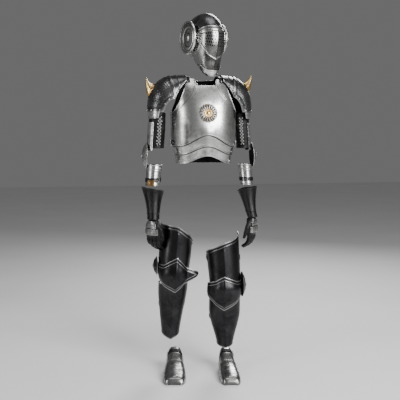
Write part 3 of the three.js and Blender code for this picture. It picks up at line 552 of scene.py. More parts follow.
def tube_mesh(path, radius, sides, closed=False, up=TUBE_GUIDE):
    """Points and faces of a round tube along a path."""
    path = np.asarray(path, float)
    if closed:
        along = unit(np.roll(path, -1, axis=0) - np.roll(path, 1, axis=0))
    else:
        along = unit(np.gradient(path, axis=0))
    guide = np.broadcast_to(np.asarray(up, float), along.shape)
    over = unit(guide - along * (guide * along).sum(axis=1, keepdims=True))
    side = np.cross(along, over)
    radius = np.broadcast_to(np.asarray(radius, float), (len(path),))
    turn = circle(sides)
    ring = side[:, None, :] * np.cos(turn)[None, :, None] + over[:, None, :] * np.sin(turn)[None, :, None]
    points = path[:, None, :] + ring * radius[:, None, None]
    return points.reshape(-1, 3), ring_faces(len(path), sides, closed)


def lathe_mesh(profile, centre, axis, sides):
    """Points and faces of a turned form: profile rows are (radius, way out along the axis)."""
    axis = unit(np.asarray(axis, float))
    guide = np.array([0.0, 0.0, 1.0]) if abs(axis[2]) < 0.9 else np.array([1.0, 0.0, 0.0])
    side = unit(np.cross(axis, guide))
    over = np.cross(axis, side)
    turn = circle(sides)
    spoke = np.cos(turn)[:, None] * side + np.sin(turn)[:, None] * over
    points = [np.asarray(centre, float) + axis * out + spoke * radius for radius, out in profile]
    return np.concatenate(points), ring_faces(len(profile), sides)


def join(parts):
    points, faces, offset = [], [], 0
    for part_points, part_faces in parts:
        points.append(np.asarray(part_points, float).reshape(-1, 3))
        faces.extend([[index + offset for index in face] for face in part_faces])
        offset += len(points[-1])
    return np.concatenate(points), faces


RIM_SIDES = 10


def rim(name, path, radius, finish, closed=False):
    return add_mesh(name, *tube_mesh(path, radius, RIM_SIDES, closed), finish)


RIVET_PROFILE = ((1.0, -0.5), (1.0, 0.12), (0.92, 0.36), (0.7, 0.58), (0.38, 0.72), (0.06, 0.76))


def rivets(name, places, radius, finish=bright_steel, body=SUIT, sides=12):
    """Domed rivets: places are (point, outward normal)."""
    profile = [(r * radius, h * radius) for r, h in RIVET_PROFILE]
    parts = [lathe_mesh(profile, point, normal, sides) for point, normal in places]
    return add_mesh(name, *join(parts), finish, body)


STITCH = {"length": 3.4, "gap": 2.2, "radius": 0.5, "sides": 5}
STITCH_LIFT = np.array([-0.3, 0.35, 0.35, -0.3]) * 2 * STITCH["radius"]


def stitches(name, path, normals, finish):
    """A row of thread stitches along a path."""
    way = np.concatenate([[0], np.cumsum(steps_along(path))])
    parts = []
    position = STITCH["gap"] / 2
    while position + STITCH["length"] < way[-1]:
        share = np.linspace(position, position + STITCH["length"], len(STITCH_LIFT))
        points, normal = (np.stack([np.interp(share, way, rows[:, axis]) for axis in range(3)], axis=1)
                          for rows in (path, normals))
        raised = points + unit(normal) * STITCH_LIFT[:, None]
        parts.append(tube_mesh(raised, STITCH["radius"], STITCH["sides"]))
        position += STITCH["length"] + STITCH["gap"]
    return add_mesh(name, *join(parts), finish)


# Straps and buckles
BUCKLE = {"squareness": 0.55, "tall": 1.35, "lift": 1.0, "sag": 0.7, "frame": 1.7, "tongue": 1.2}


def add_buckle(name, centre, outward, along, over, wide, high):
    """A rounded frame with a tongue, lying on a strap that runs along."""
    turn = circle(40)
    x = power(np.cos(turn), BUCKLE["squareness"]) * wide / 2
    y = power(np.sin(turn), BUCKLE["squareness"]) * high / 2 * BUCKLE["tall"]
    lift = BUCKLE["lift"] - BUCKLE["sag"] * (x / wide) ** 2
    corners = centre + x[:, None] * along + y[:, None] * over + lift[:, None] * outward
    ways = ((-wide / 2, 1.2), (-wide / 4, 2.4), (0, 2.5), (wide / 4, 2.2), (wide / 2 + 1.5, 1.8))
    tongue = [centre + along * x + outward * z for x, z in ways]
    parts = [tube_mesh(corners, BUCKLE["frame"], 8, True, up=outward), tube_mesh(tongue, BUCKLE["tongue"], 7)]
    return add_mesh(name, *join(parts), bright_steel)


def buckle_on(strap, name, share, column, wide, high):
    """A buckle on a strap at a share of its length, turned with the strap's middle row at a column."""
    centre, outward = on_surface(strap, share, 0.5, BUCKLE["lift"])
    along = unit(strap.points[STRAP_ROW, column + 2] - strap.points[STRAP_ROW, column - 2])
    add_buckle(name, centre, outward, along, np.cross(outward, along), wide, high)


def row_length(surface, row=STRAP_ROW):
    """Length of a row in metres, all round on a closed surface."""
    line = surface.points[row]
    if surface.closed:
        line = np.concatenate([line, line[:1]])
    return float(steps_along(line).sum()) / 1000


def column_length(surface, column=0):
    return float(steps_along(surface.points[:, column]).sum()) / 1000


def add_band(name, strap, width, stitching, wall=2.4, node=None, bevel=0.5, upright=False):
    """A leather strap with a sewn line along its sides; width is not used.

    stitching is the line's height, its place from the edge and its width; upright is for a strap that
    runs along its columns.
    """
    height, place, line_width = stitching
    edge = strap.distance(*(("left", "right") if upright else ("low", "high")))
    piece = shell(name, strap, black_leather, wall, node=node, relief=height * near(edge, place, line_width),
                  bevel=bevel)
    length = round(column_length(strap, STRAP_ROW) if upright else row_length(strap), 3)


# Torso
torso = table(
    "up half front back",
    (1090, 150, 108, 84), (1150, 157, 118, 92), (1205, 167, 128, 98), (1270, 171, 134, 104),
    (1340, 171, 132, 110), (1400, 171, 122, 112), (1450, 168, 105, 108), (1500, 160, 82, 96),
    (1545, 150, 50, 74),
)
TORSO_SQUARENESS = 0.88
TORSO_WIDTH = 171
KEEL = {"height": 5, "spread": 12 * DEGREE, "fades": 1255, "over": 60}
SIDE_ANGLE = 89.9 * DEGREE
TORSO_INSIDE = (0, 0, 1300)
LAME_LAP = 14
LAME_GAP = 0.9
ARCH_REACH = 150


def torso_point(angle, up, lift):
    half = read(torso, up, "half") + lift
    depth = np.where(np.cos(angle) > 0, read(torso, up, "front"), read(torso, up, "back")) + lift
    fade = 1 - ease((up - KEEL["fades"]) / KEEL["over"])
    ridge = KEEL["height"] * fade * np.maximum(0, 1 - np.abs(angle) / KEEL["spread"])
    return stack(
        half * power(np.sin(angle), TORSO_SQUARENESS),
        -(depth * power(np.cos(angle), TORSO_SQUARENESS) + ridge),
        up,
    )


def torso_angle(out, up):
    return np.arcsin(power(np.asarray(out, float) / read(torso, up, "half"), 1 / TORSO_SQUARENESS))


def chest_point(out, up, lift):
    return torso_point(torso_angle(out, up), up, lift)


def sideways(angle):
    return np.abs(TORSO_WIDTH * power(np.sin(angle), TORSO_SQUARENESS))


breast_top = table(
    "out up",
    (0, 1500), (52, 1500), (61, 1534), (104, 1540), (116, 1486), (134, 1426), (154, 1382), (171, 1364),
)
back_top = table(
    "out up",
    (0, 1536), (61, 1540), (104, 1540), (118, 1486), (138, 1420), (156, 1380), (171, 1364),
)
# Lower edges of the plates: height in the middle and at the sides
ARCHES = {"breast": (1250, 1193), "upper": (1193, 1151), "lower": (1143, 1104)}


def arch(name, behind, raised=0):
    """Lower edge of a plate, arched in front and level behind."""
    middle, sides = ARCHES[name]

    def height(angle):
        share = 1 if behind else ease(sideways(angle) / ARCH_REACH)
        return mix(middle, sides, share) + raised

    return height


def torso_surface(low, high, lift, behind, grid):
    start = math.pi if behind else 0.0
    return span(
        lambda up, turn, v: torso_point(start + turn, up, lift),
        lambda turn: low(start + turn), lambda turn: high(start + turn),
        (-SIDE_ANGLE, SIDE_ANGLE), TORSO_INSIDE, grid,
    )


# Line inside the armholes of the breastplate, between the broad raised border and the chest
border_line = table("up out", (1374, 171), (1378, 142), (1421, 106), (1455, 78), (1500, 58), (1540, 58))
BORDER_RISE = 1.3
BORDER_LINE = {"low": 1377, "high": 1531, "radius": 1.5, "sunk": -0.3}
HEM_PLACE = 7
NECK_ROLL = {"out": 52, "radius": 3.2, "lift": 0.6, "drop": 1.2}
ARMHOLE_ROLL = {"out": 108, "radius": 2.2, "lift": 0.4}


def top_edge(rows):
    return lambda angle: read_straight(rows, sideways(angle), "up")


def add_breastplate():
    surface = torso_surface(arch("breast", False), top_edge(breast_top), 0, False, "breastplate")
    x, up = surface.points[..., 0], surface.points[..., 2]
    out = np.abs(x)
    past = out - read_straight(border_line, up, "out")
    raised = ease((past + 5) / 10) * ease((up - 1366) / 16) * BORDER_RISE
    edge = surface.distance("low")
    hem = -0.25 * ease(1 - np.abs(edge - HEM_PLACE) / 3)
    # Painted dark reflections: darker towards the sides and the bottom, and a dark vertical streak on the
    # right side.
    painted_dark_reflection_sides = ease((out - 110) / 45) * ease((1330 - up) / 90) * 0.34
    painted_dark_reflection_streak = 0.6 * near(x, -106, 14) * ease((1352 - up) / 60)
    shell("breastplate_plate", surface, bright_steel, node="breastplate", relief=raised + hem,
          dark_lines_and_painted_shade=painted_dark_reflection_sides + painted_dark_reflection_streak + 0.25 * near(edge, HEM_PLACE, 3 ** 0.5))
    # A sunk near-black tube along each border line paints the shade at the step of the raised border.
    heights = np.linspace(BORDER_LINE["low"], BORDER_LINE["high"], 60)
    angles = torso_angle(read_straight(border_line, heights, "out"), heights)
    for tag, sign in (("right", -1), ("left", 1)):
        rim(f"breastplate_border_shade_line_{tag}", torso_point(sign * angles, heights, BORDER_LINE["sunk"]),
            BORDER_LINE["radius"], shade_black)
    return surface


def add_neck_rolls():
    """Rolled edges of the breastplate at the neck and in the armholes."""
    edge, normal = breast.points[-1], breast.normal[-1]
    middle = np.abs(edge[:, 0]) <= NECK_ROLL["out"]
    path = edge[middle] + normal[middle] * NECK_ROLL["lift"] - np.array([0, 0, NECK_ROLL["drop"]])
    rim("breastplate_neck_roll", path, NECK_ROLL["radius"], bright_steel)
    path = edge + normal * ARMHOLE_ROLL["lift"]
    rim("breastplate_armhole_roll_right", path[edge[:, 0] < -ARMHOLE_ROLL["out"]], ARMHOLE_ROLL["radius"],
        bright_steel)
    rim("breastplate_armhole_roll_left", path[::-1][edge[::-1, 0] > ARMHOLE_ROLL["out"]],
        ARMHOLE_ROLL["radius"], bright_steel)


def add_back():
    surface = torso_surface(arch("breast", True), top_edge(back_top), 0, True, "backplate")
    out, up = np.abs(surface.points[..., 0]), surface.points[..., 2]
    edge = surface.distance("high")
    shoulder_blade = 4.5 * np.exp(-((out - 70) / 42) ** 2 - ((up - 1430) / 60) ** 2)
    spine = -3.5 * near(out, 0, 16) * ease((up - 1200) / 60) * ease((1500 - up) / 60)
    plate("backplate_plate", surface, bright_steel, edge, (BORDER_RISE, 16, 3), (0.9, 17.5),
          relief=shoulder_blade + spine - 0.7 * near(edge, 17.5), node="backplate")


breast = add_breastplate()
add_neck_rolls()
add_back()

waist_plates = [breast]
for behind, place in ((False, "front"), (True, "back")):
    for step, name, above in ((1, "upper", "breast"), (2, "lower", "upper")):
        lame_plate = torso_surface(arch(name, behind), arch(above, behind, LAME_LAP),
                                   -step * (LAYER + LAME_GAP), behind, "waist_lame")
        edge = lame_plate.distance("low")
        # Painted shade: the strip under the lap of the plate above, and just below it, is darkened.
        shade_below_lap = near(np.maximum(0, lame_plate.distance("high") - LAME_LAP), 0, 5.5)
        plate(f"waist_lame_{place}_{name}", lame_plate, bright_steel, edge, (0.7, 4, 1.5), (0.3, 5),
              dark_lines_and_painted_shade=0.95 * shade_below_lap, node=f"lame_{place}_{name}")
        waist_plates.append(lame_plate)

places = []
for surface, height in zip(waist_plates, (0.045, 0.3, 0.3)):
    places.extend(spots(surface, (0.17, 0.83), (height,), 0.1))
rivets("waist_rivets", places, 3.4)

# Chest rosette: a gilt domed boss in a dished silver rim with petals
BADGE = {"up": 1360, "radius": 47, "boss": 17, "petals": 18, "columns": 144, "rows": 30, "ring": 19.6}
BOSS_PROFILE = ((18, 0), (18.4, 2.6), (17.4, 4.4), (15.6, 4.6), (14.6, 3.9), (13.6, 4.4), (11, 6.6),
                (7, 8.4), (3, 9.3), (0.2, 9.5))
BOSS_AXIS = (0, -1, 0.13)


def badge_ring(reach, turn, lift):
    return chest_point(reach * np.cos(turn), BADGE["up"] + reach * np.sin(turn), lift)


def add_badge():
    turn = circle(BADGE["columns"])
    petal = 0.5 + 0.5 * np.cos(BADGE["petals"] * turn)
    points = [badge_ring(BADGE["radius"], turn, 0.4)]
    dark_lines_and_painted_shade = [np.zeros(BADGE["columns"])]
    for share in np.linspace(0, 1, BADGE["rows"] + 1):
        reach = mix(BADGE["radius"], BADGE["boss"] * 0.9, share)
        fringe = 1 + 0.05 * (petal - 0.5) * (1 - share)
        body = 3.1 * petal ** 0.6 * math.sin(math.pi * min(1, share * 1.08)) ** 0.7
        points.append(badge_ring(reach * fringe, turn, 1.2 + body + 0.9 * (share > 0.93)))
        dark_lines_and_painted_shade.append(limit(1 - petal * 1.6) * (0.15 < share < 0.92))
    add_mesh("chest_rosette_petals", np.concatenate(points), ring_faces(len(points), len(turn), ends=False),
             rosette_steel, nodes=("chest_badge",), marks={"dark_lines_and_painted_shade": np.concatenate(dark_lines_and_painted_shade)})
    boss = lathe_mesh(BOSS_PROFILE, chest_point(0.0, BADGE["up"], 1.0), BOSS_AXIS, 48)
    add_mesh("chest_rosette_boss", *boss, gilt)
    rim("chest_rosette_ring", badge_ring(BADGE["ring"], turn, 3.0), 1.0, gilt, closed=True)


add_badge()


# Helmet
HELMET = {"out": 2, "up": 1745, "turn": 17 * DEGREE, "half": 76, "roundness": 0.66}
VISOR_LIFT = 7.6
PIVOT_RADIUS = 22
PIVOT_REACH = 141
BROW_PITCH = 11
VISOR_SEAM_PITCH = -43
NAPE_PITCH = 236
EAR_SWING = 86 * DEGREE
BAND_SWING = 0.75 * EAR_SWING
FACE_SWING = 78
head = table(
    "pitch reach half",
    (-100, 140, 66), (-80, 174, 70), (-66, 214, 70), (-50, 179, 75), (-35, 154, 75), (-15, 143, 76),
    (0, 141, 76), (30, 140, 76), (60, 134, 76), (90, 126, 76), (125, 128, 76), (160, 130, 76),
    (195, 120, 76), (230, 114, 72), (270, 112, 62),
)


def helmet_place(points):
    return turned(points, HELMET["turn"], (HELMET["out"], 0, HELMET["up"]))


def head_point(pitch, swing, lift, even=False):
    reach = read(head, pitch, "reach") + lift
    half = (HELMET["half"] if even else read(head, pitch, "half")) + lift
    radius = reach * np.cos(swing) ** HELMET["roundness"]
    return helmet_place(stack(
        half * np.sin(swing),
        -radius * np.cos(pitch * DEGREE),
        radius * np.sin(pitch * DEGREE),
    ))


HEAD_INSIDE = helmet_place(np.array([0.0, -20.0, 10.0]))


def head_surface(low, high, swing, lift, grid, even=False):
    """low and high give the pitch of each border, the same all over or by the swing in degrees."""
    def border(pitch):
        return (lambda turn: pitch(np.abs(turn) / DEGREE)) if callable(pitch) else pitch

    return span(lambda pitch, turn, v: head_point(pitch, turn, lift, even), border(low), border(high),
                (-swing, swing), HEAD_INSIDE, grid)


skull = head_surface(BROW_PITCH, NAPE_PITCH, EAR_SWING, 0, "skull")
plate("helmet_skull_plate", skull, skull_pewter, skull.distance("low", "high"), (0.8, 9, 2.5), (0.8, 10),
      node="helmet_skull")

brow = head_surface(BROW_PITCH + 1, lambda swing: BROW_PITCH + 9 + 3 * ease(swing / 60), BAND_SWING,
                    LAYER + SEAM, "brow")
edge = brow.distance("low", "high")
shell("helmet_brow_band_plate", brow, helmet_steel, node="helmet_brow_band", relief=0.9 * near(edge, 2.5),
      dark_lines_and_painted_shade=0.8 * near(edge, 6))

visor_edges = table("swing low high", (0, VISOR_SEAM_PITCH, 12), (30, -39, 11), (52, -28, 9), (64, -19, 9),
                    (74, -16, 15), (90, -24, 24))
ARM_END = (PIVOT_RADIUS + 2 * SEAM) / (PIVOT_REACH + VISOR_LIFT)
VISOR_SWING = math.acos(ARM_END ** (1 / HELMET["roundness"]))
# Breath holes: pitch of each row and the share of a step that it is shifted sideways
hole_rows = table("pitch shift", (4, 0), (-2, 0.5), (-8, 0), (-14, 0.5), (-20, 0))
HOLE = {"step": 7.6, "reach": 40, "radius": 3.5, "deep": 14, "sides": 14, "middle": 4, "border": 7}


def hole_cutters():
    parts = []
    for pitch, shift in zip(hole_rows["pitch"], hole_rows["shift"]):
        place = -HOLE["reach"] + shift * HOLE["step"]
        while place <= HOLE["reach"]:
            lowest = read_straight(visor_edges, abs(place), "low") + HOLE["border"]
            if lowest < pitch and abs(place) > HOLE["middle"]:
                inner = head_point(pitch, place * DEGREE, VISOR_LIFT - 8, True)
                outer = head_point(pitch, place * DEGREE, VISOR_LIFT + 6, True)
                profile = ((HOLE["radius"], 0), (HOLE["radius"], HOLE["deep"]))
                parts.append(lathe_mesh(profile, inner, outer - inner, HOLE["sides"]))
            place += HOLE["step"]
    points, faces = join(parts)
    mesh = bpy.data.meshes.new("holes")
    mesh.from_pydata(metres(points).tolist(), [], faces)
    return link(bpy.data.objects.new("holes", mesh))


def settle(obj):
    """Keeps the shape that the modifiers give, and drops the modifiers."""
    bpy.context.view_layer.update()
    graph = bpy.context.evaluated_depsgraph_get()
    mesh = bpy.data.meshes.new_from_object(obj.evaluated_get(graph), depsgraph=graph)
    obj.modifiers.clear()
    obj.data = mesh


def add_visor():
    surface = head_surface(
        lambda swing: read_straight(visor_edges, swing, "low"),
        lambda swing: read_straight(visor_edges, swing, "high"),
        VISOR_SWING, VISOR_LIFT, "visor", True,
    )
    swing = np.abs(surface.turn) / DEGREE
    edge = surface.distance("low", "high")
    arm = ease((swing - 48) / 4)
    beaded = 0.7 * arm * np.sin(edge * 1.1) * ease(edge / 6)
    obj = plate("helmet_visor_plate", surface, helmet_steel, edge, (0.9, 6, 1.6), (0.85, 7.4),
                relief=beaded + 1.8 * near(swing, 0, 3.2) - 0.5 * near(edge, 7.4),
                dark_lines_and_painted_shade=0.5 * arm * (beaded < -0.2), body=VISOR, node="helmet_visor", bevel=0.4)
    cutter = hole_cutters()
    cut = obj.modifiers.new("holes", "BOOLEAN")
    cut.operation = "DIFFERENCE"
    cut.object = cutter
    cut.solver = "EXACT"
    obj.modifiers.move(len(obj.modifiers) - 1, 1)
    settle(obj)
    bpy.data.objects.remove(cutter)
    places = []
    for share in np.arange(0.02, 0.17, 0.0165):
        for height in (0.2, 0.5, 0.8):
            places.extend(spots(surface, (share, 1 - share), (height,)))
    rivets("helmet_visor_rivets", places, 2.3, body=VISOR, sides=10)


add_visor()

lower_face = head_surface(lambda swing: -66 - 28 * ease(swing / FACE_SWING),
                          lambda swing: -37 + 47 * ease(swing / FACE_SWING),
                          FACE_SWING * DEGREE, 0, "lower_face")
edge = lower_face.distance("low")
swing = np.abs(lower_face.turn) / DEGREE
# The sides past 44 degrees of swing get the bright edge colour all over: a painted highlight on the cheeks.
plate("helmet_lower_face_plate", lower_face, helmet_steel, edge, (1.3, 5, 1.6), (0.8, 6.4),
      relief=1.2 * near(swing, 0, 2.6), border=np.exp(-edge / BORDER_WEAR) + ease((swing - 44) / 14),
      node="helmet_lower_face")

chin = head_surface(lambda swing: -65 - 15 * ease(swing / 60), lambda swing: -57 - 5 * ease(swing / 60),
                    52 * DEGREE, LAYER + 1.5, "chin")
plate("helmet_chin_plate_plate", chin, bright_steel, chin.distance("low", "high"), (0.7, 4, 1.5), (0.7, 5),
      node="helmet_chin_plate")

neck_guard = head_surface(NAPE_PITCH - 15, NAPE_PITCH + 30, BAND_SWING, LAYER + SEAM, "neck_guard")
step = (neck_guard.v * 3) % 1
shell("helmet_neck_guard_plate", neck_guard, bright_steel, node="helmet_neck_guard", relief=1.4 * step,
      dark_lines_and_painted_shade=0.9 * near(step, 0, 0.07))

# Dished ear discs with a thick rim, an inner ring and a boss
DISC_SEAT = HELMET["half"] + SEAM
EAR = {"sides": 96, "back_rows": 9, "rim": 82, "rim_wear": 4, "rivets": 8, "rivet_ring": 67,
       "rivet_out": 14.2}
ear_profile = table(
    "radius out",
    (0.3, 0), (22, 0), (22, 8), (74, 8), (80, 8.6), (83.6, 11), (84.4, 15), (83.6, 19), (81, 21.4),
    (77.6, 21.4), (75, 19.6), (72.5, 17.4), (68, 14.4), (63, 12.9), (60.5, 13.4), (58.6, 15.8), (55.6, 17.4),
    (52, 17), (49.4, 14.6), (46, 12), (40, 11), (32, 11), (24, 12.2), (20.6, 14), (18, 17.4), (14, 20.6),
    (9, 22.4), (3, 23), (0.3, 23.2),
)
ear_grooves = table("radius depth", (0, 0), (17, 0.05), (21, 0.85), (27, 0.35), (38, 0.3), (47, 0.85),
                    (51, 0), (58, 0), (61, 0.8), (66, 0.4), (73, 0.8), (77, 0), (85, 0))


def add_ear(tag, sign):
    seat, outer = helmet_place(np.array([[sign * DISC_SEAT, 0.0, 0.0], [sign * (DISC_SEAT + 1), 0.0, 0.0]]))
    rows = list(zip(ear_profile["radius"], ear_profile["out"] + SEAM))
    radii = np.repeat(ear_profile["radius"], EAR["sides"])
    front = np.repeat(np.arange(len(rows)) >= EAR["back_rows"], EAR["sides"])
    add_mesh(f"helmet_ear_dish_{tag}", *lathe_mesh(rows, seat, outer - seat, EAR["sides"]), bright_steel,
             nodes=(f"helmet_ear_disc_{tag}",),
             marks={"dark_lines_and_painted_shade": read_straight(ear_grooves, radii, "depth") * front,
                    "border": near(radii, EAR["rim"], EAR["rim_wear"]) * front})
    turn = circle(EAR["rivets"])
    ring = stack(sign * (DISC_SEAT + EAR["rivet_out"]), EAR["rivet_ring"] * np.cos(turn),
                 EAR["rivet_ring"] * np.sin(turn))
    rivets(f"helmet_ear_rivets_{tag}", [(place, outer - seat) for place in helmet_place(ring)], 2.6)


for tag, sign in (("right", -1), ("left", 1)):
    add_ear(tag, sign)


# Shoulders
pauldron = table(
    "rib out up tilt spread drop",
    (0, 98, 1564, -4, 78, 34), (1, 150, 1561, 6, 84, 76), (2, 200, 1548, 20, 90, 104),
    (3, 243, 1519, 42, 93, 104), (4, 274, 1474, 64, 92, 92), (5, 289, 1420, 82, 84, 78),
    (6, 291, 1362, 90, 74, 62), (7, 289, 1318, 93, 66, 50),
)
PAULDRON = {"neck": 98, "depth": 8, "inside": (190, 1440), "reach": 98 * DEGREE, "neck_gap": 1,
            "lower_gap": 0.5}
SCALE = {"across": 17.0, "along": 15.0, "height": 1.5}
SIDES = (
    {"name": "right", "sign": -1, "neck": 98, "breadth": 1, "girth": 1, "stops": (236, 250, 268, 276),
     "lace_turn": 100 * DEGREE, "horn": {"rib": 3.9, "radius": 34, "lean": 1.15, "size": 0.76}},
    {"name": "left", "sign": 1, "neck": 90, "breadth": 0.88, "girth": 0.88, "stops": (209, 230, 238, 262),
     "lace_turn": 112 * DEGREE, "horn": {"rib": 3.45, "radius": 30, "lean": 0.8, "size": 0.94}},
)


def pauldron_point(side, rib, turn, lift):
    out = side["neck"] + (read(pauldron, rib, "out") - PAULDRON["neck"]) * side["breadth"]
    tilt = read(pauldron, rib, "tilt") * DEGREE
    spread = read(pauldron, rib, "spread") + lift
    push = lift - read(pauldron, rib, "drop") * side["breadth"] * (1 - np.cos(turn))
    return stack(
        side["sign"] * (out + np.sin(tilt) * push),
        PAULDRON["depth"] - spread * np.sin(turn),
        read(pauldron, rib, "up") + np.cos(tilt) * push,
    )


def pauldron_surface(side, first, last, reach, lift, grid, gather=GATHER):
    out, up = PAULDRON["inside"]
    return span(lambda rib, turn, v: pauldron_point(side, rib, turn, lift), first, last, (-reach, reach),
                (side["sign"] * out, PAULDRON["depth"], up), grid, gather)


def scales(across, along):
    """Relief of overlapping round-ended scales, from 0 to 1, and the dark lines between them."""
    row = np.floor(along / SCALE["along"])
    x = (across / SCALE["across"] + 0.5 * (row % 2)) % 1 - 0.5
    y = (along / SCALE["along"]) % 1
    tip = 1.04 - 1.7 * x ** 2
    height = np.where(y < tip, 0.35 + 0.65 * y / np.maximum(tip, 0.2), 0.15)
    centre_rib = 0.25 * near(x, 0, 0.07) * (y > 0.2)
    return height + centre_rib, near(y, tip, 0.1) * (y > 0.4)


def add_pauldron(side):
    tag = side["name"]
    dome = pauldron_surface(side, 1.55, 5.85, PAULDRON["reach"], 0, "pauldron", 0)
    edge = dome.distance(*ALL_SIDES)
    way = np.diff(dome.points, axis=1)
    across = np.pad(np.cumsum(np.linalg.norm(way, axis=2), axis=1), ((0, 0), (1, 0)))
    across = across - across[:, across.shape[1] // 2][:, None]
    way = np.diff(dome.points, axis=0)
    along = np.pad(np.cumsum(np.linalg.norm(way, axis=2), axis=0), ((1, 0), (0, 0)))
    along = np.broadcast_to(along[:, along.shape[1] // 2][:, None], along.shape)
    height, dark = scales(across, along)
    field = ease((edge - 19) / 3)
    plate(f"pauldron_{tag}_dome", dome, pewter, edge, (1.2, 13, 2), (0.8, 14.5),
          relief=field * height * SCALE["height"] + 0.5 * near(edge, 2),
          dark_lines_and_painted_shade=0.85 * field * dark + 0.8 * near(edge, 19),
          border=np.exp(-edge / 4) + 0.55 * field * (height - 0.55), node=f"pauldron_{tag}")
    neck = pauldron_surface(side, 0, 1.8, PAULDRON["reach"], -LAYER - PAULDRON["neck_gap"], "neck_lame")
    step = (neck.v * 2) % 1
    plate(f"pauldron_{tag}_neck_lame", neck, pewter, neck.distance("low", "left", "right"), (1.1, 6, 2),
          (0.8, 7.5), relief=1.2 * (1 - step) * (neck.v < 0.95),
          dark_lines_and_painted_shade=0.9 * near(step, 0, 0.05) * (neck.v > 0.2), node=f"pauldron_neck_lame_{tag}")
    lower = pauldron_surface(side, 5.6, 6.6, 0.8 * PAULDRON["reach"], -LAYER - PAULDRON["lower_gap"],
                             "lower_lame")
    step = (lower.v * 2.4) % 1
    plate(f"pauldron_{tag}_lower_lame", lower, bright_steel, lower.distance("high", "left", "right"),
          (0.9, 4, 1.5), (0.7, 5), relief=0.9 * step, dark_lines_and_painted_shade=0.9 * near(step, 0, 0.06) * (lower.v > 0.3),
          node=f"pauldron_lower_lame_{tag}")
    places = spots(dome, (0.1, 0.3, 0.5, 0.7, 0.9), (0.965,), 0.6)
    for height in (0.12, 0.35, 0.6, 0.82):
        places.extend(spots(dome, (0.035, 0.965), (height,), 0.6))
    rivets(f"pauldron_{tag}_rivets", places, 2.8)


RIB_SPACING = 54
HORN = {"sides": 40, "rows": 34, "first": 1.5, "length": 70, "seat": 2.4, "flutes": 8, "narrow": 0.8,
        "collar": 2.0, "collar_reach": 1.04, "collar_lift": 3.0}
horn_rows = table("out lean radius", (0, 0, 1.0), (13, -1, 0.88), (32, -9, 0.6), (52, -23, 0.33),
                  (70, -42, 0.05))


def horn_foot(side, reach, turn, lift):
    """Ring on the pauldron round the foot of the horn."""
    rib = side["horn"]["rib"] + reach * np.cos(turn) / RIB_SPACING
    swing = HORN["narrow"] * reach * np.sin(turn) / read(pauldron, rib, "spread")
    return pauldron_point(side, rib, swing, lift)


def add_horn(side):
    tag, sign, horn = side["name"], side["sign"], side["horn"]
    tilt = float(read(pauldron, horn["rib"], "tilt")) * DEGREE
    facing = np.array([sign * math.sin(tilt), 0, math.cos(tilt)])
    along = np.array([sign * math.cos(tilt), 0, -math.sin(tilt)])
    forward = np.array([0, -HORN["narrow"], 0])
    centre = pauldron_point(side, horn["rib"], 0.0, 0.0)
    turn = circle(HORN["sides"])
    crest = near(np.minimum(turn, FULL_TURN - turn), 0, 0.35)
    rings, wear = [], []
    for out in np.concatenate([[0], np.linspace(HORN["first"], HORN["length"], HORN["rows"])]):
        bead = 1 + 0.1 * near(out, 2, 3.0)
        reach = horn["radius"] * float(read(horn_rows, out, "radius")) * bead
        if out == 0:
            ring = horn_foot(side, reach, turn, HORN["seat"])
        else:
            lean = horn["lean"] * float(read(horn_rows, out, "lean"))
            fluted = reach * (1 + 0.035 * np.cos(HORN["flutes"] * turn) * (1 - out / 75) - 0.05 * crest)
            ring = (centre + facing * out * horn["size"] + along * (lean + fluted * np.cos(turn))[:, None]
                    + forward * (fluted * np.sin(turn))[:, None])
        rings.append(ring)
        wear.append(limit(crest + 0.5 * (out / HORN["length"]) ** 2))
    add_mesh(f"horn_{tag}_point", np.concatenate(rings), ring_faces(len(rings), HORN["sides"]), gilt,
             nodes=(f"horn_{tag}",),
             marks={"border": np.concatenate(wear), "dark_lines_and_painted_shade": np.zeros(len(rings) * HORN["sides"])})
    collar = horn_foot(side, horn["radius"] * HORN["collar_reach"], circle(72), HORN["collar_lift"])
    rim(f"horn_{tag}_collar", collar, HORN["collar"], brass, closed=True)


for side in SIDES:
    add_pauldron(side)
    add_horn(side)


# Arms
arm_rows = table(
    "up way depth radius",
    (780, 3, -78, 34), (860, 2.4, -48, 34), (985, 2, -6, 35), (1080, 1.4, 12, 38), (1147, 1, 22, 42),
    (1260, 0.5, 18, 45.4), (1400, 0, 12, 42.8),
)
SLEEVE = (1182, 1366)
REREBRACE = (1172, 1316)
REREBRACE_TURNS = (-62 * DEGREE, 62 * DEGREE)
VAMBRACE = (990, 1098)
COUTER = {"up": 1146, "half": 66, "depth": 50, "dome": 24, "hole": 0.08, "flutes": 12}
CUFF = {"low": 822, "high": 972, "middle": 900, "point": 14, "point_turn": 20 * DEGREE, "snug": -2,
        "flare": 25, "cord_up": 850.0, "cord_lift": 1.6, "cord": 1.9}
LACING = {"low": 1204, "high": 1346, "step": 17, "half": 0.17, "radius": 1.8, "sides": 6, "points": 9}
EYELET = ((3.2, -1), (3.4, 0.5), (2.9, 1.0), (1.9, 0.9), (1.6, 0.2))
ARM_STRAP = {"up": 1020, "width": 20, "lift": 3.0, "buckle_turn": 0.62 * math.pi, "buckle_lift": 5.6}
PATCH = {"heights": (990, 1018), "turns": (0.78, 1.62), "lift": 6.0}


def arm_point(side, up, turn, lift):
    out = np.interp(read(arm_rows, up, "way"), (0, 1, 2, 3), side["stops"])
    radius = read(arm_rows, up, "radius") * side["girth"] + lift
    return stack(
        side["sign"] * (out + radius * np.cos(turn)),
        read(arm_rows, up, "depth") - radius * np.sin(turn),
        up,
    )


def arm_inside(side, up):
    return arm_point(side, up, 0.0, -float(read(arm_rows, up, "radius")) * side["girth"])


def arm_surface(side, low, high, lift, grid, turns=ALL_ROUND):
    return span(lambda up, turn, v: arm_point(side, up, turn, lift), low, high, turns,
                arm_inside(side, mix(low, high, 0.5)), grid)


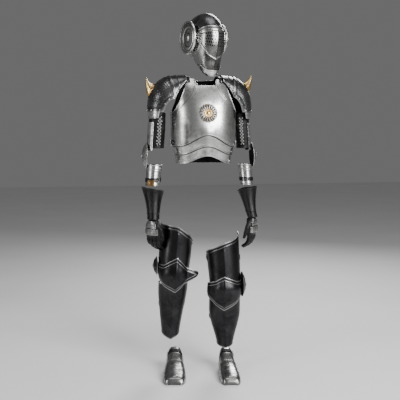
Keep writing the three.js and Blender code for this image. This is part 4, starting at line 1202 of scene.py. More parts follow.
def add_sleeve(side):
    tag = side["name"]
    sleeve = arm_surface(side, *SLEEVE, 0, "sleeve")
    flat = (round(row_length(sleeve, len(sleeve.points) // 2), 3), round(column_length(sleeve), 3))
    up, turn = sleeve.way, sleeve.turn
    away = turn_from(turn, side["lace_turn"])
    slit = near(away, 0, 0.07) * ease((up - 1196) / 8) * ease((1350 - up) / 8)
    flap = near(np.abs(away), LACING["half"], 0.08)
    folds = (2.2 * np.sin(up / 9.5 + 2.6 * np.sin(turn) + 1.3 * np.sin(2 * turn + up / 31))
             * ease((up - 1186) / 20) * (0.35 + 0.65 * np.cos(turn - 2.4) ** 2))
    hem = near(up, SLEEVE[0] + 4, 3) + near(up, SLEEVE[1] - 4, 3)
    relief = -1.6 * slit + 0.5 * flap - 0.7 - 0.7 * np.abs(folds) + 0.7 * hem
    relief = np.where(np.cos(turn) > 0.35, -0.9 - 0.2 * np.abs(folds), relief)
    # The slit is also painted dark, as the shade in its opening.
    piece = shell(f"arm_sleeve_{tag}_leather", sleeve, black_leather, 1.8, node=f"arm_sleeve_{tag}",
                  relief=relief, dark_lines_and_painted_shade=slit, border=hem * 0.8 + 0.5 * flap, bevel=0)


def add_lacing(side):
    tag, slit_turn, half = side["name"], side["lace_turn"], LACING["half"]
    steps = np.arange(LACING["low"], LACING["high"], LACING["step"])
    share = np.linspace(0, 1, LACING["points"])
    parts = []
    for low, high in zip(steps[:-1], steps[1:]):
        for start, raised in ((-half, 0), (half, 0.7)):
            lift = 0.5 + 1.1 * np.sin(math.pi * share) ** 0.5 + raised
            path = arm_point(side, mix(low, high, share), slit_turn + mix(start, -start, share), lift)
            parts.append(tube_mesh(path, LACING["radius"], LACING["sides"]))
    add_mesh(f"arm_sleeve_{tag}_lacing", *join(parts), lace)
    parts = []
    for height in steps:
        for offset in (-half, half):
            centre = arm_point(side, float(height), slit_turn + offset, -0.2)
            parts.append(lathe_mesh(EYELET, centre, level_way(centre - arm_inside(side, float(height))), 12))
    add_mesh(f"arm_sleeve_{tag}_eyelets", *join(parts), bright_steel)


def add_rerebrace(side):
    tag = side["name"]
    surface = arm_surface(side, *REREBRACE, LAYER + SEAM, "rerebrace", REREBRACE_TURNS)
    edge = surface.distance(*ALL_SIDES)
    up = surface.way
    ribs = sum(near(up, place, 2.6) for place in (1203, 1212, 1278, 1287))
    lame = (np.maximum(0, up - 1216) / 31) % 1 * (up > 1216) * (up < 1278)
    plate(f"rerebrace_{tag}_plate", surface, bright_steel, edge, (0.9, 5, 1.6), (0.8, 6),
          relief=(1.2 * ribs + 0.8 * lame) * (edge > 5),
          dark_lines_and_painted_shade=0.5 * near(lame, 0, 0.08) * (up > 1218) * (up < 1276), node=f"rerebrace_{tag}")
    rivets(f"rerebrace_{tag}_rivets", spots(surface, (0.09, 0.91), (0.06, 0.5, 0.94), 0.4), 2.4)


def add_elbow(side):
    tag, sign = side["name"], side["sign"]

    def at(u, v):
        turn = u * FULL_TURN
        reach = mix(COUTER["hole"], 1, v)
        point = arm_point(side, COUTER["up"] + COUTER["half"] * reach * np.sin(turn), 0.0, 2 * LAYER + 0.5)
        point[..., 0] += sign * COUTER["dome"] * (1 - reach * reach)
        point[..., 1] += COUTER["depth"] * reach * np.cos(turn)
        return point

    lens = Surface(at, (0, 0, COUTER["up"]), "couter", True)
    edge = lens.distance("high")
    flutes = (0.7 * np.cos(COUTER["flutes"] * lens.u * FULL_TURN) * ease((edge - 12) / 6)
              * ease((lens.v - 0.25) / 0.2))
    plate(f"couter_{tag}_lens", lens, bright_steel, edge, (1.0, 6, 1.8), (0.85, 7.5), relief=flutes,
          dark_lines_and_painted_shade=0.35 * (flutes < -0.35), node=f"couter_{tag}")
    hub = (at(np.array(0.0), np.array(0.0)) + at(np.array(0.5), np.array(0.0))) / 2
    profile = ((8.6, -3), (9, 0.4), (8.2, 2), (6.2, 2.4), (5.4, 3.6), (3, 5), (0.3, 5.4))
    add_mesh(f"couter_{tag}_stud", *lathe_mesh(profile, hub, (sign, 0, 0), 32), bright_steel)


def add_forearm(side):
    tag = side["name"]
    surface = arm_surface(side, *VAMBRACE, LAYER + SEAM, "vambrace")
    up, turn = surface.way, surface.turn
    ribs = near(up, 1067, 2.2) + near(up, 1079, 2.2)
    seam_line = near(turn_from(turn, 1.5 * math.pi), 0, 0.05)
    ridge = near(turn_from(turn, 0.5 * math.pi), 0, 0.018 ** 0.5)
    plate(f"vambrace_{tag}_plate", surface, bright_steel, surface.distance("low", "high"), (1.2, 4.5, 1.5),
          (0.8, 6), relief=1.3 * ribs + 0.8 * ridge - 0.6 * seam_line,
          dark_lines_and_painted_shade=seam_line + 0.55 * near(up, 1073), node=f"vambrace_{tag}")
    up, half = float(ARM_STRAP["up"]), ARM_STRAP["width"] / 2
    strap = arm_surface(side, up - half, up + half, LAYER + SEAM + ARM_STRAP["lift"], "vambrace_strap")
    add_band(f"vambrace_{tag}_strap", strap, ARM_STRAP["width"], (0.3, 3, LINE),
             2.2, bevel=0.4)
    centre = arm_point(side, up, ARM_STRAP["buckle_turn"], ARM_STRAP["buckle_lift"])
    outward = level_way(centre - arm_inside(side, up))
    over = np.array([0, 0, 1.0])
    add_buckle(f"vambrace_{tag}_buckle", centre, outward, np.cross(over, outward), over, 24, 18)


def add_patch(side):
    """Plain gilt plate on the forearm."""
    patch = arm_surface(side, *PATCH["heights"], LAYER + SEAM + PATCH["lift"], "patch", PATCH["turns"])
    plate("vambrace_right_patch", patch, brass, patch.distance(*ALL_SIDES), (0.7, 4, 1.4), (0.8, 5), wall=1.4)
    rivets("vambrace_right_studs", spots(patch, (0.14, 0.86), (0.2,)), 3.2, brass)


for side in SIDES:
    add_sleeve(side)
    add_lacing(side)
    add_rerebrace(side)
    add_elbow(side)
    add_forearm(side)
    if side["name"] == "right":
        add_patch(side)


# Gloves
HAND = {"wrist": 840, "knuckle": 740, "width": 46, "thickness": 20, "facing": 38 * DEGREE, "in_cuff": 1.5,
        "sides": 28, "cut": 846.0, "wall": 1.4}
palm_rows = table(
    "up width thick shift",
    (728, 0.86, 0.6, 2), (745, 1, 0.95, 4), (785, 0.98, 1.15, 2), (812, 0.66, 1.2, 0),
)
WRIST_HEIGHTS = (850, 842, 834, 828, 822)
PALM_HEIGHTS = (812, 800, 785, 772, 758, 745, 736, 728)
FINGERS = ((-0.76, 32, 10.2), (-0.26, 35, 10.6), (0.26, 33, 10.2), (0.74, 27, 9.4))
FINGER_BENDS = (0, 20 * DEGREE, 58 * DEGREE)
FINGER_TAPER = np.array((1, 1, 0.94, 0.66))
FINGER_SIDES = 14
FINGER_CREASES = (700, 694, 668, 662)
THUMB_STEPS = ((30, -20, 4), (30, -4, 8), (22, 4, 10))
THUMB_RADII = np.array((13, 12, 10.5, 7))
THUMB_START = {"up": 796, "across": -0.6}
VOXEL = 0.0031
SOFTEN = {"factor": 0.5, "iterations": 4}


def hand_frame(side):
    facing = HAND["facing"]
    wide = np.array([side["sign"] * math.sin(facing), math.cos(facing), 0])
    over = np.array([side["sign"] * math.cos(facing), -math.sin(facing), 0])
    return wide, over, arm_inside(side, HAND["wrist"])


def palm_point(side, up, turn, lift):
    wide, over, middle = hand_frame(side)
    width = HAND["width"] * read(palm_rows, up, "width") + lift
    thick = HAND["thickness"] * read(palm_rows, up, "thick") + lift
    return (stack(middle[0], middle[1], up) + wide * (width * np.sin(turn))[..., None]
            + over * (read(palm_rows, up, "shift") + thick * np.cos(turn))[..., None])


def chain_from(start, steps):
    return np.cumsum([start, *steps], axis=0)


def finger_chain(side, across, reach):
    wide, over, middle = hand_frame(side)
    start = np.array([middle[0], middle[1], HAND["knuckle"] + 6]) + wide * HAND["width"] * across + over * 2
    return chain_from(start, [(np.array([0, 0, -math.cos(bend)]) - over * math.sin(bend)) * reach
                              for bend in FINGER_BENDS])


def thumb_chain(side):
    wide, over, middle = hand_frame(side)
    start = np.array([middle[0], middle[1], THUMB_START["up"]]) + wide * HAND["width"] * THUMB_START["across"]
    return chain_from(start, [np.array([0, 0, -down]) + wide * across - over * behind
                              for down, across, behind in THUMB_STEPS])


def finger_parts(chain, radii, over, count=19):
    """A smooth tapered tube along a chain of joints, and a ball on its tip."""
    share = np.linspace(0, len(chain) - 1, count)
    base = np.arange(len(chain))
    path = np.stack([np.interp(share, base, chain[:, axis]) for axis in range(3)], axis=1)
    for _ in range(2):
        path[1:-1] = (path[:-2] + 2 * path[1:-1] + path[2:]) / 4
    size = np.interp(share, base, radii) * (1 + 0.04 * np.cos(share * FULL_TURN))
    profile = [(max(0.02, size[-1] * math.sin(t)), size[-1] * math.cos(t))
               for t in np.linspace(math.pi, 0, 9)]
    tip = lathe_mesh(profile, path[-1], (0, 0, 1), FINGER_SIDES)
    return [tube_mesh(path, size, FINGER_SIDES, up=over), tip]


def add_hand(side):
    """Glove hand: palm, fingers and thumb are joined, remeshed whole and opened at the wrist."""
    tag = side["name"]
    over = hand_frame(side)[1]
    turn = circle(HAND["sides"])
    wrist_turn = side["sign"] * (math.pi / 2 - turn + HAND["facing"])
    inset = CUFF["snug"] - LEATHER_WALL - HAND["in_cuff"]
    rings = [arm_point(side, float(up), wrist_turn, inset) for up in WRIST_HEIGHTS]
    rings += [palm_point(side, np.full(len(turn), float(up)), turn, 0.0) for up in PALM_HEIGHTS]
    parts = [(np.concatenate(rings), ring_faces(len(rings), len(turn)))]
    for across, reach, radius in FINGERS:
        parts += finger_parts(finger_chain(side, across, reach), radius * FINGER_TAPER, over)
    parts += finger_parts(thumb_chain(side), THUMB_RADII, over)
    obj = add_mesh(f"glove_hand_{tag}_leather", *join(parts), black_leather, nodes=(f"glove_hand_{tag}",))
    remesh = obj.modifiers.new("whole", "REMESH")
    remesh.mode = "VOXEL"
    remesh.voxel_size = VOXEL
    soften = obj.modifiers.new("soften", "SMOOTH")
    soften.factor = SOFTEN["factor"]
    soften.iterations = SOFTEN["iterations"]
    settle(obj)
    work = bmesh.new()
    work.from_mesh(obj.data)
    wrist = metres((0, 0, HAND["cut"]))[2]
    bmesh.ops.delete(work, geom=[vert for vert in work.verts if vert.co.z > wrist], context="VERTS")
    work.to_mesh(obj.data)
    work.free()
    shade_smooth(obj.data)
    up = np.array([vert.co.z for vert in obj.data.vertices]) * 1000 + SHOULDER_LINE
    # Painted shade: the leather is darkened in the finger creases.
    crease_shade = sum(near(up, place, 2.6) for place in FINGER_CREASES)
    paint(obj.data, {"border": np.zeros(len(up)), "dark_lines_and_painted_shade": limit(0.5 * crease_shade)})
    wall = obj.modifiers.new("wall", "SOLIDIFY")
    wall.thickness = HAND["wall"] / 1000
    wall.offset = -1


HAND_PLATES = (
    {"name": "hand_plate", "low": 776, "high": 812, "reach": 50, "gap": 1.5, "lames": 1, "knuckles": 0},
    {"name": "knuckle_plate", "low": 740, "high": 772, "reach": 64, "gap": 2.2, "lames": 0, "knuckles": 1},
)
KNUCKLE_TURN = 27 * DEGREE


def add_hand_plate(side, form):
    name = f"{form['name']}_{side['name']}"
    low, high, reach = form["low"], form["high"], form["reach"] * DEGREE
    surface = span(lambda up, turn, v: palm_point(side, up, turn, STEEL_WALL + form["gap"]), low, high,
                   (-reach, reach), palm_point(side, np.array((low + high) / 2), np.array(0.0), -30),
                   "hand_plate")
    edge = surface.distance(*ALL_SIDES)
    step = (surface.v * 3) % 1
    knuckles = form["knuckles"] * near((surface.turn / KNUCKLE_TURN) % 1, 0.5, 0.24)
    raised = 1.5 * knuckles + 1.1 * form["lames"] * step
    lines = near(edge, 4.6, 0.9) + near(step, 0, 0.08) * form["lames"] * (edge > 4)
    plate(f"{name}_plate", surface, foot_steel, edge, (0.5, 4, 1.4), (0, 0),
          relief=raised * ease((edge - 3) / 3), dark_lines_and_painted_shade=0.7 * lines, node=name)
    rivets(f"{name}_rivets", spots(surface, (0.1, 0.9), (0.14, 0.86), 0.2), 1.9)


FINGER_SCALE = {"rows": 6, "columns": 9, "reach": 62 * DEGREE, "wall": 1.3, "length": 0.52, "sunk": 0.3}
# Joint at which each scale's bone starts, and the scale's place along it
FINGER_SCALE_PLACES = ((0, 0.42), (1, 0.25), (1, 0.72))


def scale_faces():
    rows, columns = FINGER_SCALE["rows"], FINGER_SCALE["columns"]
    under = rows * columns
    faces = []
    for j in range(rows - 1):
        for i in range(columns - 1):
            a = j * columns + i
            quad = [a, a + 1, a + columns + 1, a + columns]
            faces += [quad, [under + index for index in (quad[0], quad[3], quad[2], quad[1])]]
    last = (rows - 1) * columns
    loop = [*range(columns), *range(2 * columns - 1, under, columns)]
    loop += [*range(under - 2, last - 1, -1), *range(last - columns, 0, -columns)]
    for first, second in zip(loop, loop[1:] + loop[:1]):
        faces.append([first, under + first, under + second, second])
    return faces


def add_finger_scales(side):
    wide, over = hand_frame(side)[:2]
    along_share, angle = np.meshgrid(
        np.linspace(-0.5, 0.5, FINGER_SCALE["rows"]),
        np.linspace(-FINGER_SCALE["reach"], FINGER_SCALE["reach"], FINGER_SCALE["columns"]), indexing="ij",
    )
    t, a = along_share.reshape(-1, 1), angle.reshape(-1, 1)
    parts = []
    for across, reach, radius in FINGERS:
        chain = finger_chain(side, across, reach)
        for joint, share in FINGER_SCALE_PLACES:
            along = unit(chain[joint + 1] - chain[joint])
            outward = unit(np.cross(wide, along))
            outward = outward if np.dot(outward, over) > 0 else -outward
            centre = mix(chain[joint], chain[joint + 1], share) - outward * FINGER_SCALE["sunk"]
            bulge = radius + 0.9 + 1.3 * (t + 0.5)
            outer = (centre + along * (-t * reach * FINGER_SCALE["length"]) + wide * (bulge * np.sin(a))
                     + outward * (bulge * np.cos(a)))
            parts.append((np.concatenate([outer, outer - outward * FINGER_SCALE["wall"]]), scale_faces()))
    add_mesh(f"finger_scales_{side['name']}", *join(parts), gunmetal)


def cuff_at(side, u, v, lift=0.0):
    turn = u * FULL_TURN
    facing = np.cos(turn - CUFF["point_turn"])
    up = mix(CUFF["low"], CUFF["high"] + CUFF["point"] * facing * np.abs(facing), v)
    return arm_point(side, up, turn, mix(CUFF["snug"], CUFF["flare"], v * v) + lift)


# The two seams of a cuff part on both sides of a turn: their distance from it at the wrist and its growth
CUFF_SEAM = {"turn": CUFF["point_turn"] + 0.5, "wrist": 0.16, "growth": 0.5, "welt": 0.05}


def seam_away(share):
    return CUFF_SEAM["wrist"] + CUFF_SEAM["growth"] * share


def add_cuff(side):
    tag = side["name"]
    inside = arm_inside(side, CUFF["middle"])
    cuff = Surface(lambda u, v: cuff_at(side, u, v), inside, "cuff", True)
    edge = cuff.distance("high")
    turn = cuff.u * FULL_TURN
    seam_way = np.abs(turn_from(turn, CUFF_SEAM["turn"])) - seam_away(cuff.v)
    seam_line = near(seam_way, 0, 0.018) * (cuff.v < 0.97)
    welt = near(np.abs(seam_way), CUFF_SEAM["welt"], 0.022) * (cuff.v < 0.97)
    folds = 1.4 * near(cuff.v, 0.13, 0.09) * np.sin(cuff.v * 120 + 1.6 * np.sin(2 * turn))
    hem = near(edge, 3, 2.6)
    hem_line = near(edge, 7.5)
    piece = shell(f"glove_cuff_{tag}_leather", cuff, cuff_leather, 2.0, node=f"glove_cuff_{tag}",
                  relief=-0.8 * seam_line + 0.5 * welt + 0.9 * hem - 0.4 * hem_line
                  + 0.6 * np.minimum(folds, 0) - 0.4,
                  dark_lines_and_painted_shade=0.9 * seam_line + 0.6 * hem_line, border=0.8 * hem + 0.3 * welt, bevel=0)
    low, high, length = row_length(cuff, 0), row_length(cuff, -1), column_length(cuff)
    v = np.linspace(0.1, 0.95, 60)
    away = seam_away(v) + CUFF_SEAM["welt"]
    for index, sign in enumerate((-1, 1)):
        path = cuff_at(side, (CUFF_SEAM["turn"] + sign * away) / FULL_TURN, v, 0.25)
        stitches(f"glove_cuff_{tag}_stitches_{index}", path, level_way(path - inside), thread)
    wrist = arm_point(side, CUFF["cord_up"], circle(96), CUFF["snug"] + CUFF["cord_lift"])
    rim(f"glove_cuff_{tag}_wrist_cord", wrist, CUFF["cord"], cuff_leather, closed=True)


for side in SIDES:
    add_cuff(side)
    add_hand(side)
    for form in HAND_PLATES:
        add_hand_plate(side, form)
    add_finger_scales(side)


# Legs
def edge_rows(*rows):
    return table("turn up", *rows)


LEGS = (
    {
        "name": "right", "sign": -1, "yaw": -8 * DEGREE,
        "rows": table(
            "up out depth half front back",
            (120, 177, 4, 38, 44, 44), (200, 178, 2, 46, 48, 56), (320, 173, -2, 62, 58, 72),
            (430, 168, -16, 76, 66, 62), (530, 164, -30, 78, 70, 58), (620, 156, -20, 84, 76, 70),
            (700, 146, -8, 84, 84, 84), (820, 134, 4, 90, 92, 96),
        ),
        "cuisse_high": edge_rows((-1, 692), (-0.4, 742), (0, 782), (1, 800)),
        "cuisse_low": edge_rows((-1, 534), (1, 534)),
        "poleyn_high": edge_rows((-1, 540), (-0.5, 578), (-0.1, 622), (0.5, 584), (1.25, 590)),
        "poleyn_low": edge_rows((-1, 522), (-0.5, 474), (-0.1, 438), (0.5, 475), (1.25, 548)),
        "greave_high": edge_rows((-1, 486), (1, 486)),
        "greave_low": edge_rows((-1, 218), (0, 178), (1, 222)),
        "wing": (570, 48), "thigh_strap": 690, "calf_strap": 360, "foot": (152, 14, -10 * DEGREE, 1),
        "flare": 46, "foot_buckle": 0.22,
    },
    {
        "name": "left", "sign": 1, "yaw": -6 * DEGREE,
        "rows": table(
            "up out depth half front back",
            (110, 108, -50, 36, 42, 44), (180, 107, -54, 50, 50, 58), (300, 103, -64, 80, 62, 74),
            (400, 100, -78, 82, 68, 62), (470, 99, -88, 80, 70, 58), (560, 98, -72, 84, 76, 70),
            (650, 94, -54, 88, 84, 84), (760, 88, -36, 92, 90, 94),
        ),
        "cuisse_high": edge_rows((-1, 640), (-0.5, 662), (0, 694), (1, 742)),
        "cuisse_low": edge_rows((-1, 448), (1, 448)),
        "poleyn_high": edge_rows((-1, 486), (-0.5, 500), (-0.1, 524), (0.5, 498), (1.25, 492)),
        "poleyn_low": edge_rows((-1, 420), (-0.5, 372), (-0.1, 342), (0.5, 378), (1.25, 442)),
        "greave_high": edge_rows((-1, 400), (1, 400)),
        "greave_low": edge_rows((-1, 150), (0, 128), (1, 150)),
        "wing": (468, 66), "thigh_strap": 610, "calf_strap": 290, "foot": (116, -44, -7 * DEGREE, 0.9),
        "flare": 10, "foot_buckle": 0.78,
    },
)
LEG_REACH = {"cuisse": 100 * DEGREE, "poleyn": 78 * DEGREE, "greave": 118 * DEGREE}
OUTER_REACH = 1.25
POLEYN_DOME = 20
POLEYN_GAP = 0.6
PLATE_COLUMNS = 14
LEG_STRAP = {"width": 26, "gap": 0.95, "buckle_share": 0.3, "buckle_column": 24}
WING = {"share": 1 / 3, "reach": 0.1, "seat": 4.8, "rim": 10, "dome": 20, "depth": 42, "flutes": 10}
STUD_PROFILE = ((7.6, -3), (8, 0.6), (7, 2.6), (5, 3.1), (3.4, 4.4), (0.3, 4.8))
foot_rows = table(
    "forward half high",
    (-30, 38, 112), (0, 38, 112), (34, 41, 100), (70, 46, 80), (112, 53, 62), (160, 56, 50),
    (205, 55, 43), (236, 49, 34), (248, 41, 20), (252, 36, 8),
)
FOOT_SQUARENESS = 0.6
SOLE_GAP = 2
FOOT = {"plate": (56, 252), "ankle": (-8, 88), "reach": 90 * DEGREE, "lames": (84, 124, 164, 204),
        "lame_fade": 16, "rivets": (66, 104, 144, 184), "rivet_turn": 74 * DEGREE, "ankle_step": 42}
FOOT_STRAP = {"forward": 24, "width": 17, "reach": 84 * DEGREE, "lift": 3.4}


def leg_point(leg, up, turn, lift):
    rows = leg["rows"]
    half = read(rows, up, "half") + lift
    depth = np.where(np.cos(turn) > 0, read(rows, up, "front"), read(rows, up, "back")) + lift
    points = stack(leg["sign"] * half * np.sin(turn), -depth * np.cos(turn), up)
    return turned(points, leg["yaw"], (leg["sign"] * read(rows, up, "out"), read(rows, up, "depth"), 0))


def leg_middle(leg, up):
    return (leg_point(leg, float(up), 0.0, 0.0) + leg_point(leg, float(up), math.pi, 0.0)) / 2


def leg_surface(leg, name, middle, outer=1, lift=lambda turn, v: 0):
    """Surface of a leg plate between its two edges."""
    reach = LEG_REACH[name]

    def border(side):
        return lambda turn: read_straight(leg[f"{name}_{side}"], turn / reach, "up")

    return span(lambda up, turn, v: leg_point(leg, up, turn, lift(turn, v)), border("low"), border("high"),
                (-reach, outer * reach), leg_middle(leg, middle), name)


def add_thigh(leg):
    tag = leg["name"]
    surface = leg_surface(leg, "cuisse", leg["thigh_strap"])
    edge = surface.distance(*ALL_SIDES)
    second = near(edge, 17)
    ridge = 3.2 * near(surface.turn, -0.06, 0.09) * ease((edge - 18) / 20)
    plate(f"cuisse_{tag}_plate", surface, gunmetal, edge, (1.3, 5, 1.6), (0.7, 7),
          relief=0.8 * second + ridge, dark_lines_and_painted_shade=0.5 * near(edge, 20),
          border=near(edge, 0, 4.5) + 0.7 * second, node=f"cuisse_{tag}")
    rivets(f"cuisse_{tag}_rivets", spots(surface, (0.05, 0.95), (0.3, 0.5, 0.7), 0.2), 2.8)


def add_knee(leg):
    tag = leg["name"]
    reach = LEG_REACH["poleyn"]

    def lift(turn, v):
        dome = POLEYN_DOME * np.maximum(0, np.cos(turn)) * (1 - (2 * v - 1) ** 2)
        return LAYER + POLEYN_GAP + dome + leg["flare"] * ease((-turn / reach - 0.55) / 0.45)

    surface = leg_surface(leg, "poleyn", leg["wing"][0], OUTER_REACH, lift)
    edge = surface.distance(*ALL_SIDES)
    outline = surface.distance("low", "high")
    second = near(outline, 17, 1.7) * ease((edge - 8) / 6)
    crest = 3.4 * near(surface.turn, -0.1, 0.1) * ease((outline - 8) / 14)
    plate(f"poleyn_{tag}_plate", surface, gunmetal, edge, (1.4, 4.5, 1.5), (0.8, 6.4),
          relief=1.3 * second + crest, dark_lines_and_painted_shade=0.6 * near(outline, 20.6),
          border=near(edge, 0, 4.5) + 0.85 * second, node=f"poleyn_{tag}")


def add_wing(leg):
    tag = leg["name"]
    wing_up, wing_half = leg["wing"]

    def at(u, v):
        turn = u * FULL_TURN
        hub = v < WING["share"]
        rest = (v - WING["share"]) / (1 - WING["share"])
        reach = np.where(hub, WING["reach"], mix(WING["reach"], 1, rest))
        crown = WING["rim"] + WING["dome"] * (1 - reach * reach)
        lift = np.where(hub, mix(WING["seat"], crown, v / WING["share"]), crown)
        point = leg_point(leg, wing_up + wing_half * reach * np.sin(turn), 90 * DEGREE, lift)
        point[..., 1] += WING["depth"] * reach * np.cos(turn)
        return point

    wing = Surface(at, leg_middle(leg, wing_up), "wing", True)
    edge = wing.distance("high")
    flutes = (0.9 * np.cos(WING["flutes"] * wing.u * FULL_TURN) * ease((edge - 9) / 5)
              * ease((wing.v - 0.5) / 0.15))
    plate(f"poleyn_{tag}_wing", wing, gunmetal, edge, (1.2, 5, 1.6), (0.8, 6.6), relief=flutes,
          dark_lines_and_painted_shade=0.4 * (flutes < -0.4), node=f"poleyn_wing_{tag}")
    top = np.array(WING["share"] + 0.02)
    hub = (at(np.array(0.0), top) + at(np.array(0.5), top)) / 2
    stud = lathe_mesh(STUD_PROFILE, hub, level_way(hub - leg_middle(leg, wing_up)), 28)
    add_mesh(f"poleyn_{tag}_wing_stud", *stud, bright_steel)


def add_shin(leg):
    surface = leg_surface(leg, "greave", leg["calf_strap"])
    edge = surface.distance(*ALL_SIDES)
    ridge = 3.0 * near(surface.turn, -0.05, 0.12) * ease((edge - 8) / 16)
    plate(f"greave_{leg['name']}_plate", surface, gunmetal, edge, (1.3, 5, 1.6), (0.75, 7), relief=ridge,
          border=near(edge, 0, 5), node=f"greave_{leg['name']}")


def add_leg_strap(leg, name, plate_name):
    tag, up = leg["name"], leg[name]
    start = LEG_REACH[plate_name] * (1 - 2 / PLATE_COLUMNS)
    half = LEG_STRAP["width"] / 2
    strap = span(lambda up, turn, v: leg_point(leg, up, turn, LEATHER_WALL + LEG_STRAP["gap"]), up - half,
                 up + half, (start, FULL_TURN - start), leg_middle(leg, up), "leg_strap")
    add_band(f"{name}_{tag}_band", strap, LEG_STRAP["width"],
             (-0.25, 3.4, 0.8), node=f"{name}_{tag}")
    for end, share in (("outer", 0.035), ("inner", 0.965)):
        rivets(f"{name}_{tag}_rivet_{end}", spots(strap, (share,), (0.5,), 0.2), 3.6)
    buckle_on(strap, f"{name}_{tag}_buckle", LEG_STRAP["buckle_share"], LEG_STRAP["buckle_column"], 30, 25)


def foot_point(leg, forward, turn, lift):
    out, depth, yaw, wide = leg["foot"]
    half = (read(foot_rows, forward, "half") + lift) * wide
    high = read(foot_rows, forward, "high") + lift - SOLE_GAP
    points = stack(
        half * power(np.sin(turn), FOOT_SQUARENESS),
        -forward,
        SOLE_GAP + high * power(np.cos(turn), FOOT_SQUARENESS),
    )
    return turned(points, yaw, (leg["sign"] * out, depth, 0))


def foot_surface(leg, start, end, reach, lift, inside, grid):
    return span(lambda forward, turn, v: foot_point(leg, forward, turn, lift), start, end, (-reach, reach),
                foot_point(leg, float(inside), 0.0, -50), grid)


def add_foot(leg):
    tag = leg["name"]
    surface = foot_surface(leg, *FOOT["plate"], FOOT["reach"], 0, FOOT["plate"][0], "sabaton")
    forward = surface.way
    step = np.zeros_like(forward)
    dark_lines_and_painted_shade = np.zeros_like(forward)
    for place in FOOT["lames"]:
        after = forward - place
        step += 2.2 * (after > 0) * np.exp(-np.maximum(after, 0) / FOOT["lame_fade"])
        dark_lines_and_painted_shade += near(after, -0.8, 1.5)
    crest = 1.6 * near(surface.turn, 0, 5.5 * DEGREE) * (forward < 226)
    edge = surface.distance("left", "right")
    plate(f"sabaton_{tag}_plate", surface, foot_steel, edge, (0.8, 4, 1.5), (0.6, 5), relief=step + crest,
          dark_lines_and_painted_shade=0.9 * dark_lines_and_painted_shade, border=0.7 * np.exp(-edge / 4), node=f"sabaton_{tag}")
    ankle = foot_surface(leg, *FOOT["ankle"], FOOT["reach"], LAYER + SEAM, 0, "ankle")
    after = ankle.way - FOOT["ankle_step"]
    step = 1.8 * (after > 0) * np.exp(-np.maximum(after, 0) / FOOT["lame_fade"])
    edge = ankle.distance("low", "high")
    plate(f"sabaton_{tag}_ankle_plate", ankle, foot_steel, edge, (1.1, 4.5, 1.6), (0.8, 6),
          relief=step * (edge > 5), dark_lines_and_painted_shade=0.8 * near(after, -1), node=f"sabaton_ankle_{tag}")
    places = []
    for place in FOOT["rivets"]:
        for turn in (-FOOT["rivet_turn"], FOOT["rivet_turn"]):
            point = foot_point(leg, float(place), turn, 2.6)
            places.append((point, point - foot_point(leg, float(place), turn, -6.0)))
    rivets(f"sabaton_{tag}_rivets", places, 2.4)


def add_foot_strap(leg):
    tag = leg["name"]
    forward, half = FOOT_STRAP["forward"], FOOT_STRAP["width"] / 2
    strap = foot_surface(leg, forward - half, forward + half, FOOT_STRAP["reach"],
                         LAYER + SEAM + FOOT_STRAP["lift"], forward, "foot_strap")
    add_band(f"sabaton_{tag}_strap", strap, FOOT_STRAP["width"],
             (-0.2, 2.6, 0.7), 2.2)
    share = leg["foot_buckle"]
    buckle_on(strap, f"sabaton_{tag}_buckle", share, int(share * GRIDS["foot_strap"][0]), 22, 17)


for leg in LEGS:
    add_thigh(leg)
    add_knee(leg)
    add_wing(leg)
    add_shin(leg)
    add_leg_strap(leg, "thigh_strap", "cuisse")
    add_leg_strap(leg, "calf_strap", "greave")
    add_foot(leg)
    add_foot_strap(leg)


# Straps over the shoulders and round the waist
SHOULDER_STRAP = {"width": 30, "crest": 1555.8, "middle": 6, "low": 1516.0, "high": 1544.0, "lap": 0.9,
                  "inside": 1400}
SIDE_STRAP = {"up": 1212, "width": 24, "reach": 20 * DEGREE, "gap": 0.5}


def smooth_path(stops, count):
    """Centripetal Catmull-Rom curve through the stops, as in the CAD."""
    stops = np.asarray(stops, float)
    padded = np.concatenate([[2 * stops[0] - stops[1]], stops, [2 * stops[-1] - stops[-2]]])
    result = []
    for share in np.linspace(0, len(stops) - 1, count):
        index = min(int(share), len(stops) - 2)
        p0, p1, p2, p3 = padded[index:index + 4]
        d0, d1, d2 = np.maximum(steps_along(padded[index:index + 4]) ** 0.5, 1e-4)
        m1 = ((p1 - p0) / d0 - (p2 - p0) / (d0 + d1) + (p2 - p1) / d1) * d1
        m2 = ((p2 - p1) / d1 - (p3 - p1) / (d1 + d2) + (p3 - p2) / d2) * d1
        result.append(curve(p1, m1, p2, m2, share - index))
    return np.array(result)


def strap_line(sign, out):
    """Path of a shoulder strap from the chest over its crest to the back."""
    lift = LEATHER_WALL + SHOULDER_STRAP["lap"]
    front = [chest_point(out, SHOULDER_STRAP[height], lift) for height in ("low", "high")]
    behind = [torso_point(math.pi - torso_angle(out, SHOULDER_STRAP[height]), SHOULDER_STRAP[height], lift)
              for height in ("high", "low")]
    stops = np.array([*front, (out, SHOULDER_STRAP["middle"], SHOULDER_STRAP["crest"]), *behind])
    return smooth_path(stops * np.array([sign, 1, 1]), GRIDS["shoulder_strap"][1] + 1)


def add_shoulder_strap(tag, sign, strap_out):
    across, along = GRIDS["shoulder_strap"]
    width = SHOULDER_STRAP["width"]
    lines = [strap_line(sign, strap_out + (share - 0.5) * width) for share in np.linspace(0, 1, across + 1)]
    grid = np.array(lines).transpose(1, 0, 2)

    def at(u, v):
        return grid[np.rint(v * along).astype(int), np.rint(u * across).astype(int)]

    inside = (sign * strap_out, SHOULDER_STRAP["middle"], SHOULDER_STRAP["inside"])
    strap = Surface(at, inside, "shoulder_strap", gather=0)
    add_band(f"shoulder_strap_{tag}_band", strap, width, (-0.25, 3, LINE),
             node=f"shoulder_strap_{tag}", upright=True)
    rivets(f"shoulder_strap_{tag}_rivets", spots(strap, (0.25, 0.75), (0.06, 0.94), 0.2), 3.0)


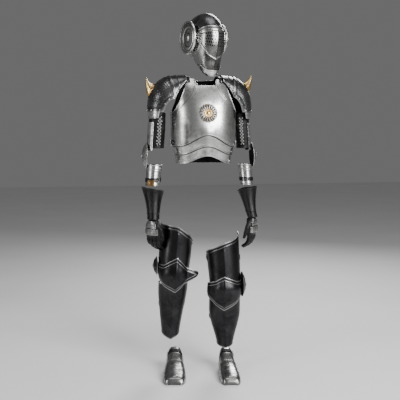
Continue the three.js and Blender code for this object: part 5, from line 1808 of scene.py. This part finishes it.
def add_side_strap(tag, sign):
    up, half, reach = SIDE_STRAP["up"], SIDE_STRAP["width"] / 2, SIDE_STRAP["reach"]
    lift = LEATHER_WALL + SIDE_STRAP["gap"]
    strap = span(lambda up, turn, v: torso_point(sign * (math.pi / 2 + turn), up, lift), up - half, up + half,
                 (-reach, reach), (0, 0, up), "side_strap")
    add_band(f"side_strap_{tag}_band", strap, SIDE_STRAP["width"], (-0.2, 3, 0.8),
             node=f"side_strap_{tag}")
    rivets(f"side_strap_{tag}_rivets", spots(strap, (0.1, 0.9), (0.5,), 0.2), 3.2)
    buckle_on(strap, f"side_strap_{tag}_buckle", 0.5, GRIDS["side_strap"][0] // 2, 26, 23)


for tag, sign, strap_out in (("right", -1, 94), ("left", 1, 86)):
    add_shoulder_strap(tag, sign, strap_out)
    add_side_strap(tag, sign)


# Pale floor and soft studio light, in metres
FLOOR_HALF = 14.0
FLOOR_UP = -SHOULDER_LINE / 1000
FLOOR_ROUGHNESS = 0.7
WORLD_GREY = (0.5, 0.5, 0.5, 1)
WORLD_STRENGTH = 0.3
LIGHTS = (
    {"name": "key", "place": (1.7, -3.4, 1.0), "target": (0, 0, -0.4), "size": (2.2, 2.2), "energy": 230},
    {"name": "fill", "place": (-3.2, -1.5, 0.3), "target": (0, 0, -0.6), "size": (0.8, 2.4), "energy": 44},
    {"name": "top", "place": (0.2, -0.6, 2.6), "target": (0, 0, -0.4), "size": (2.0, 1.6), "energy": 32},
    {"name": "rim", "place": (1.4, 2.6, 1.5), "target": (0, 0, -0.1), "size": (1.2, 1.8), "energy": 95},
)


def add_floor():
    mesh = bpy.data.meshes.new("floor")
    corners = [(x * FLOOR_HALF, y * FLOOR_HALF, FLOOR_UP) for x, y in ((-1, -1), (1, -1), (1, 1), (-1, 1))]
    mesh.from_pydata(corners, [], [(0, 1, 2, 3)])
    obj = link(bpy.data.objects.new("floor", mesh))
    material, tree, shader, place = start_finish("pale_floor")
    tone = ramp(tree, noise(tree, place, 1.5, 3.0, 0.5), (0.3, 0.8), (0.7, 0.84))
    tree.links.new(tone, shader.inputs["Base Color"])
    shader.inputs["Roughness"].default_value = FLOOR_ROUGHNESS
    mesh.materials.append(material)


def add_light(name, place, target, size, energy):
    data = bpy.data.lights.new(name, "AREA")
    data.shape = "RECTANGLE"
    data.size, data.size_y = size
    data.energy = energy
    obj = link(bpy.data.objects.new(name, data))
    obj.location = place
    obj.rotation_euler = (Vector(target) - Vector(place)).to_track_quat("-Z", "Y").to_euler()


def add_world():
    world = bpy.data.worlds.new("studio")
    world.use_nodes = True
    background = world.node_tree.nodes["Background"]
    background.inputs["Color"].default_value = WORLD_GREY
    background.inputs["Strength"].default_value = WORLD_STRENGTH
    bpy.context.scene.world = world


add_floor()
add_world()
for light in LIGHTS:
    add_light(**light)
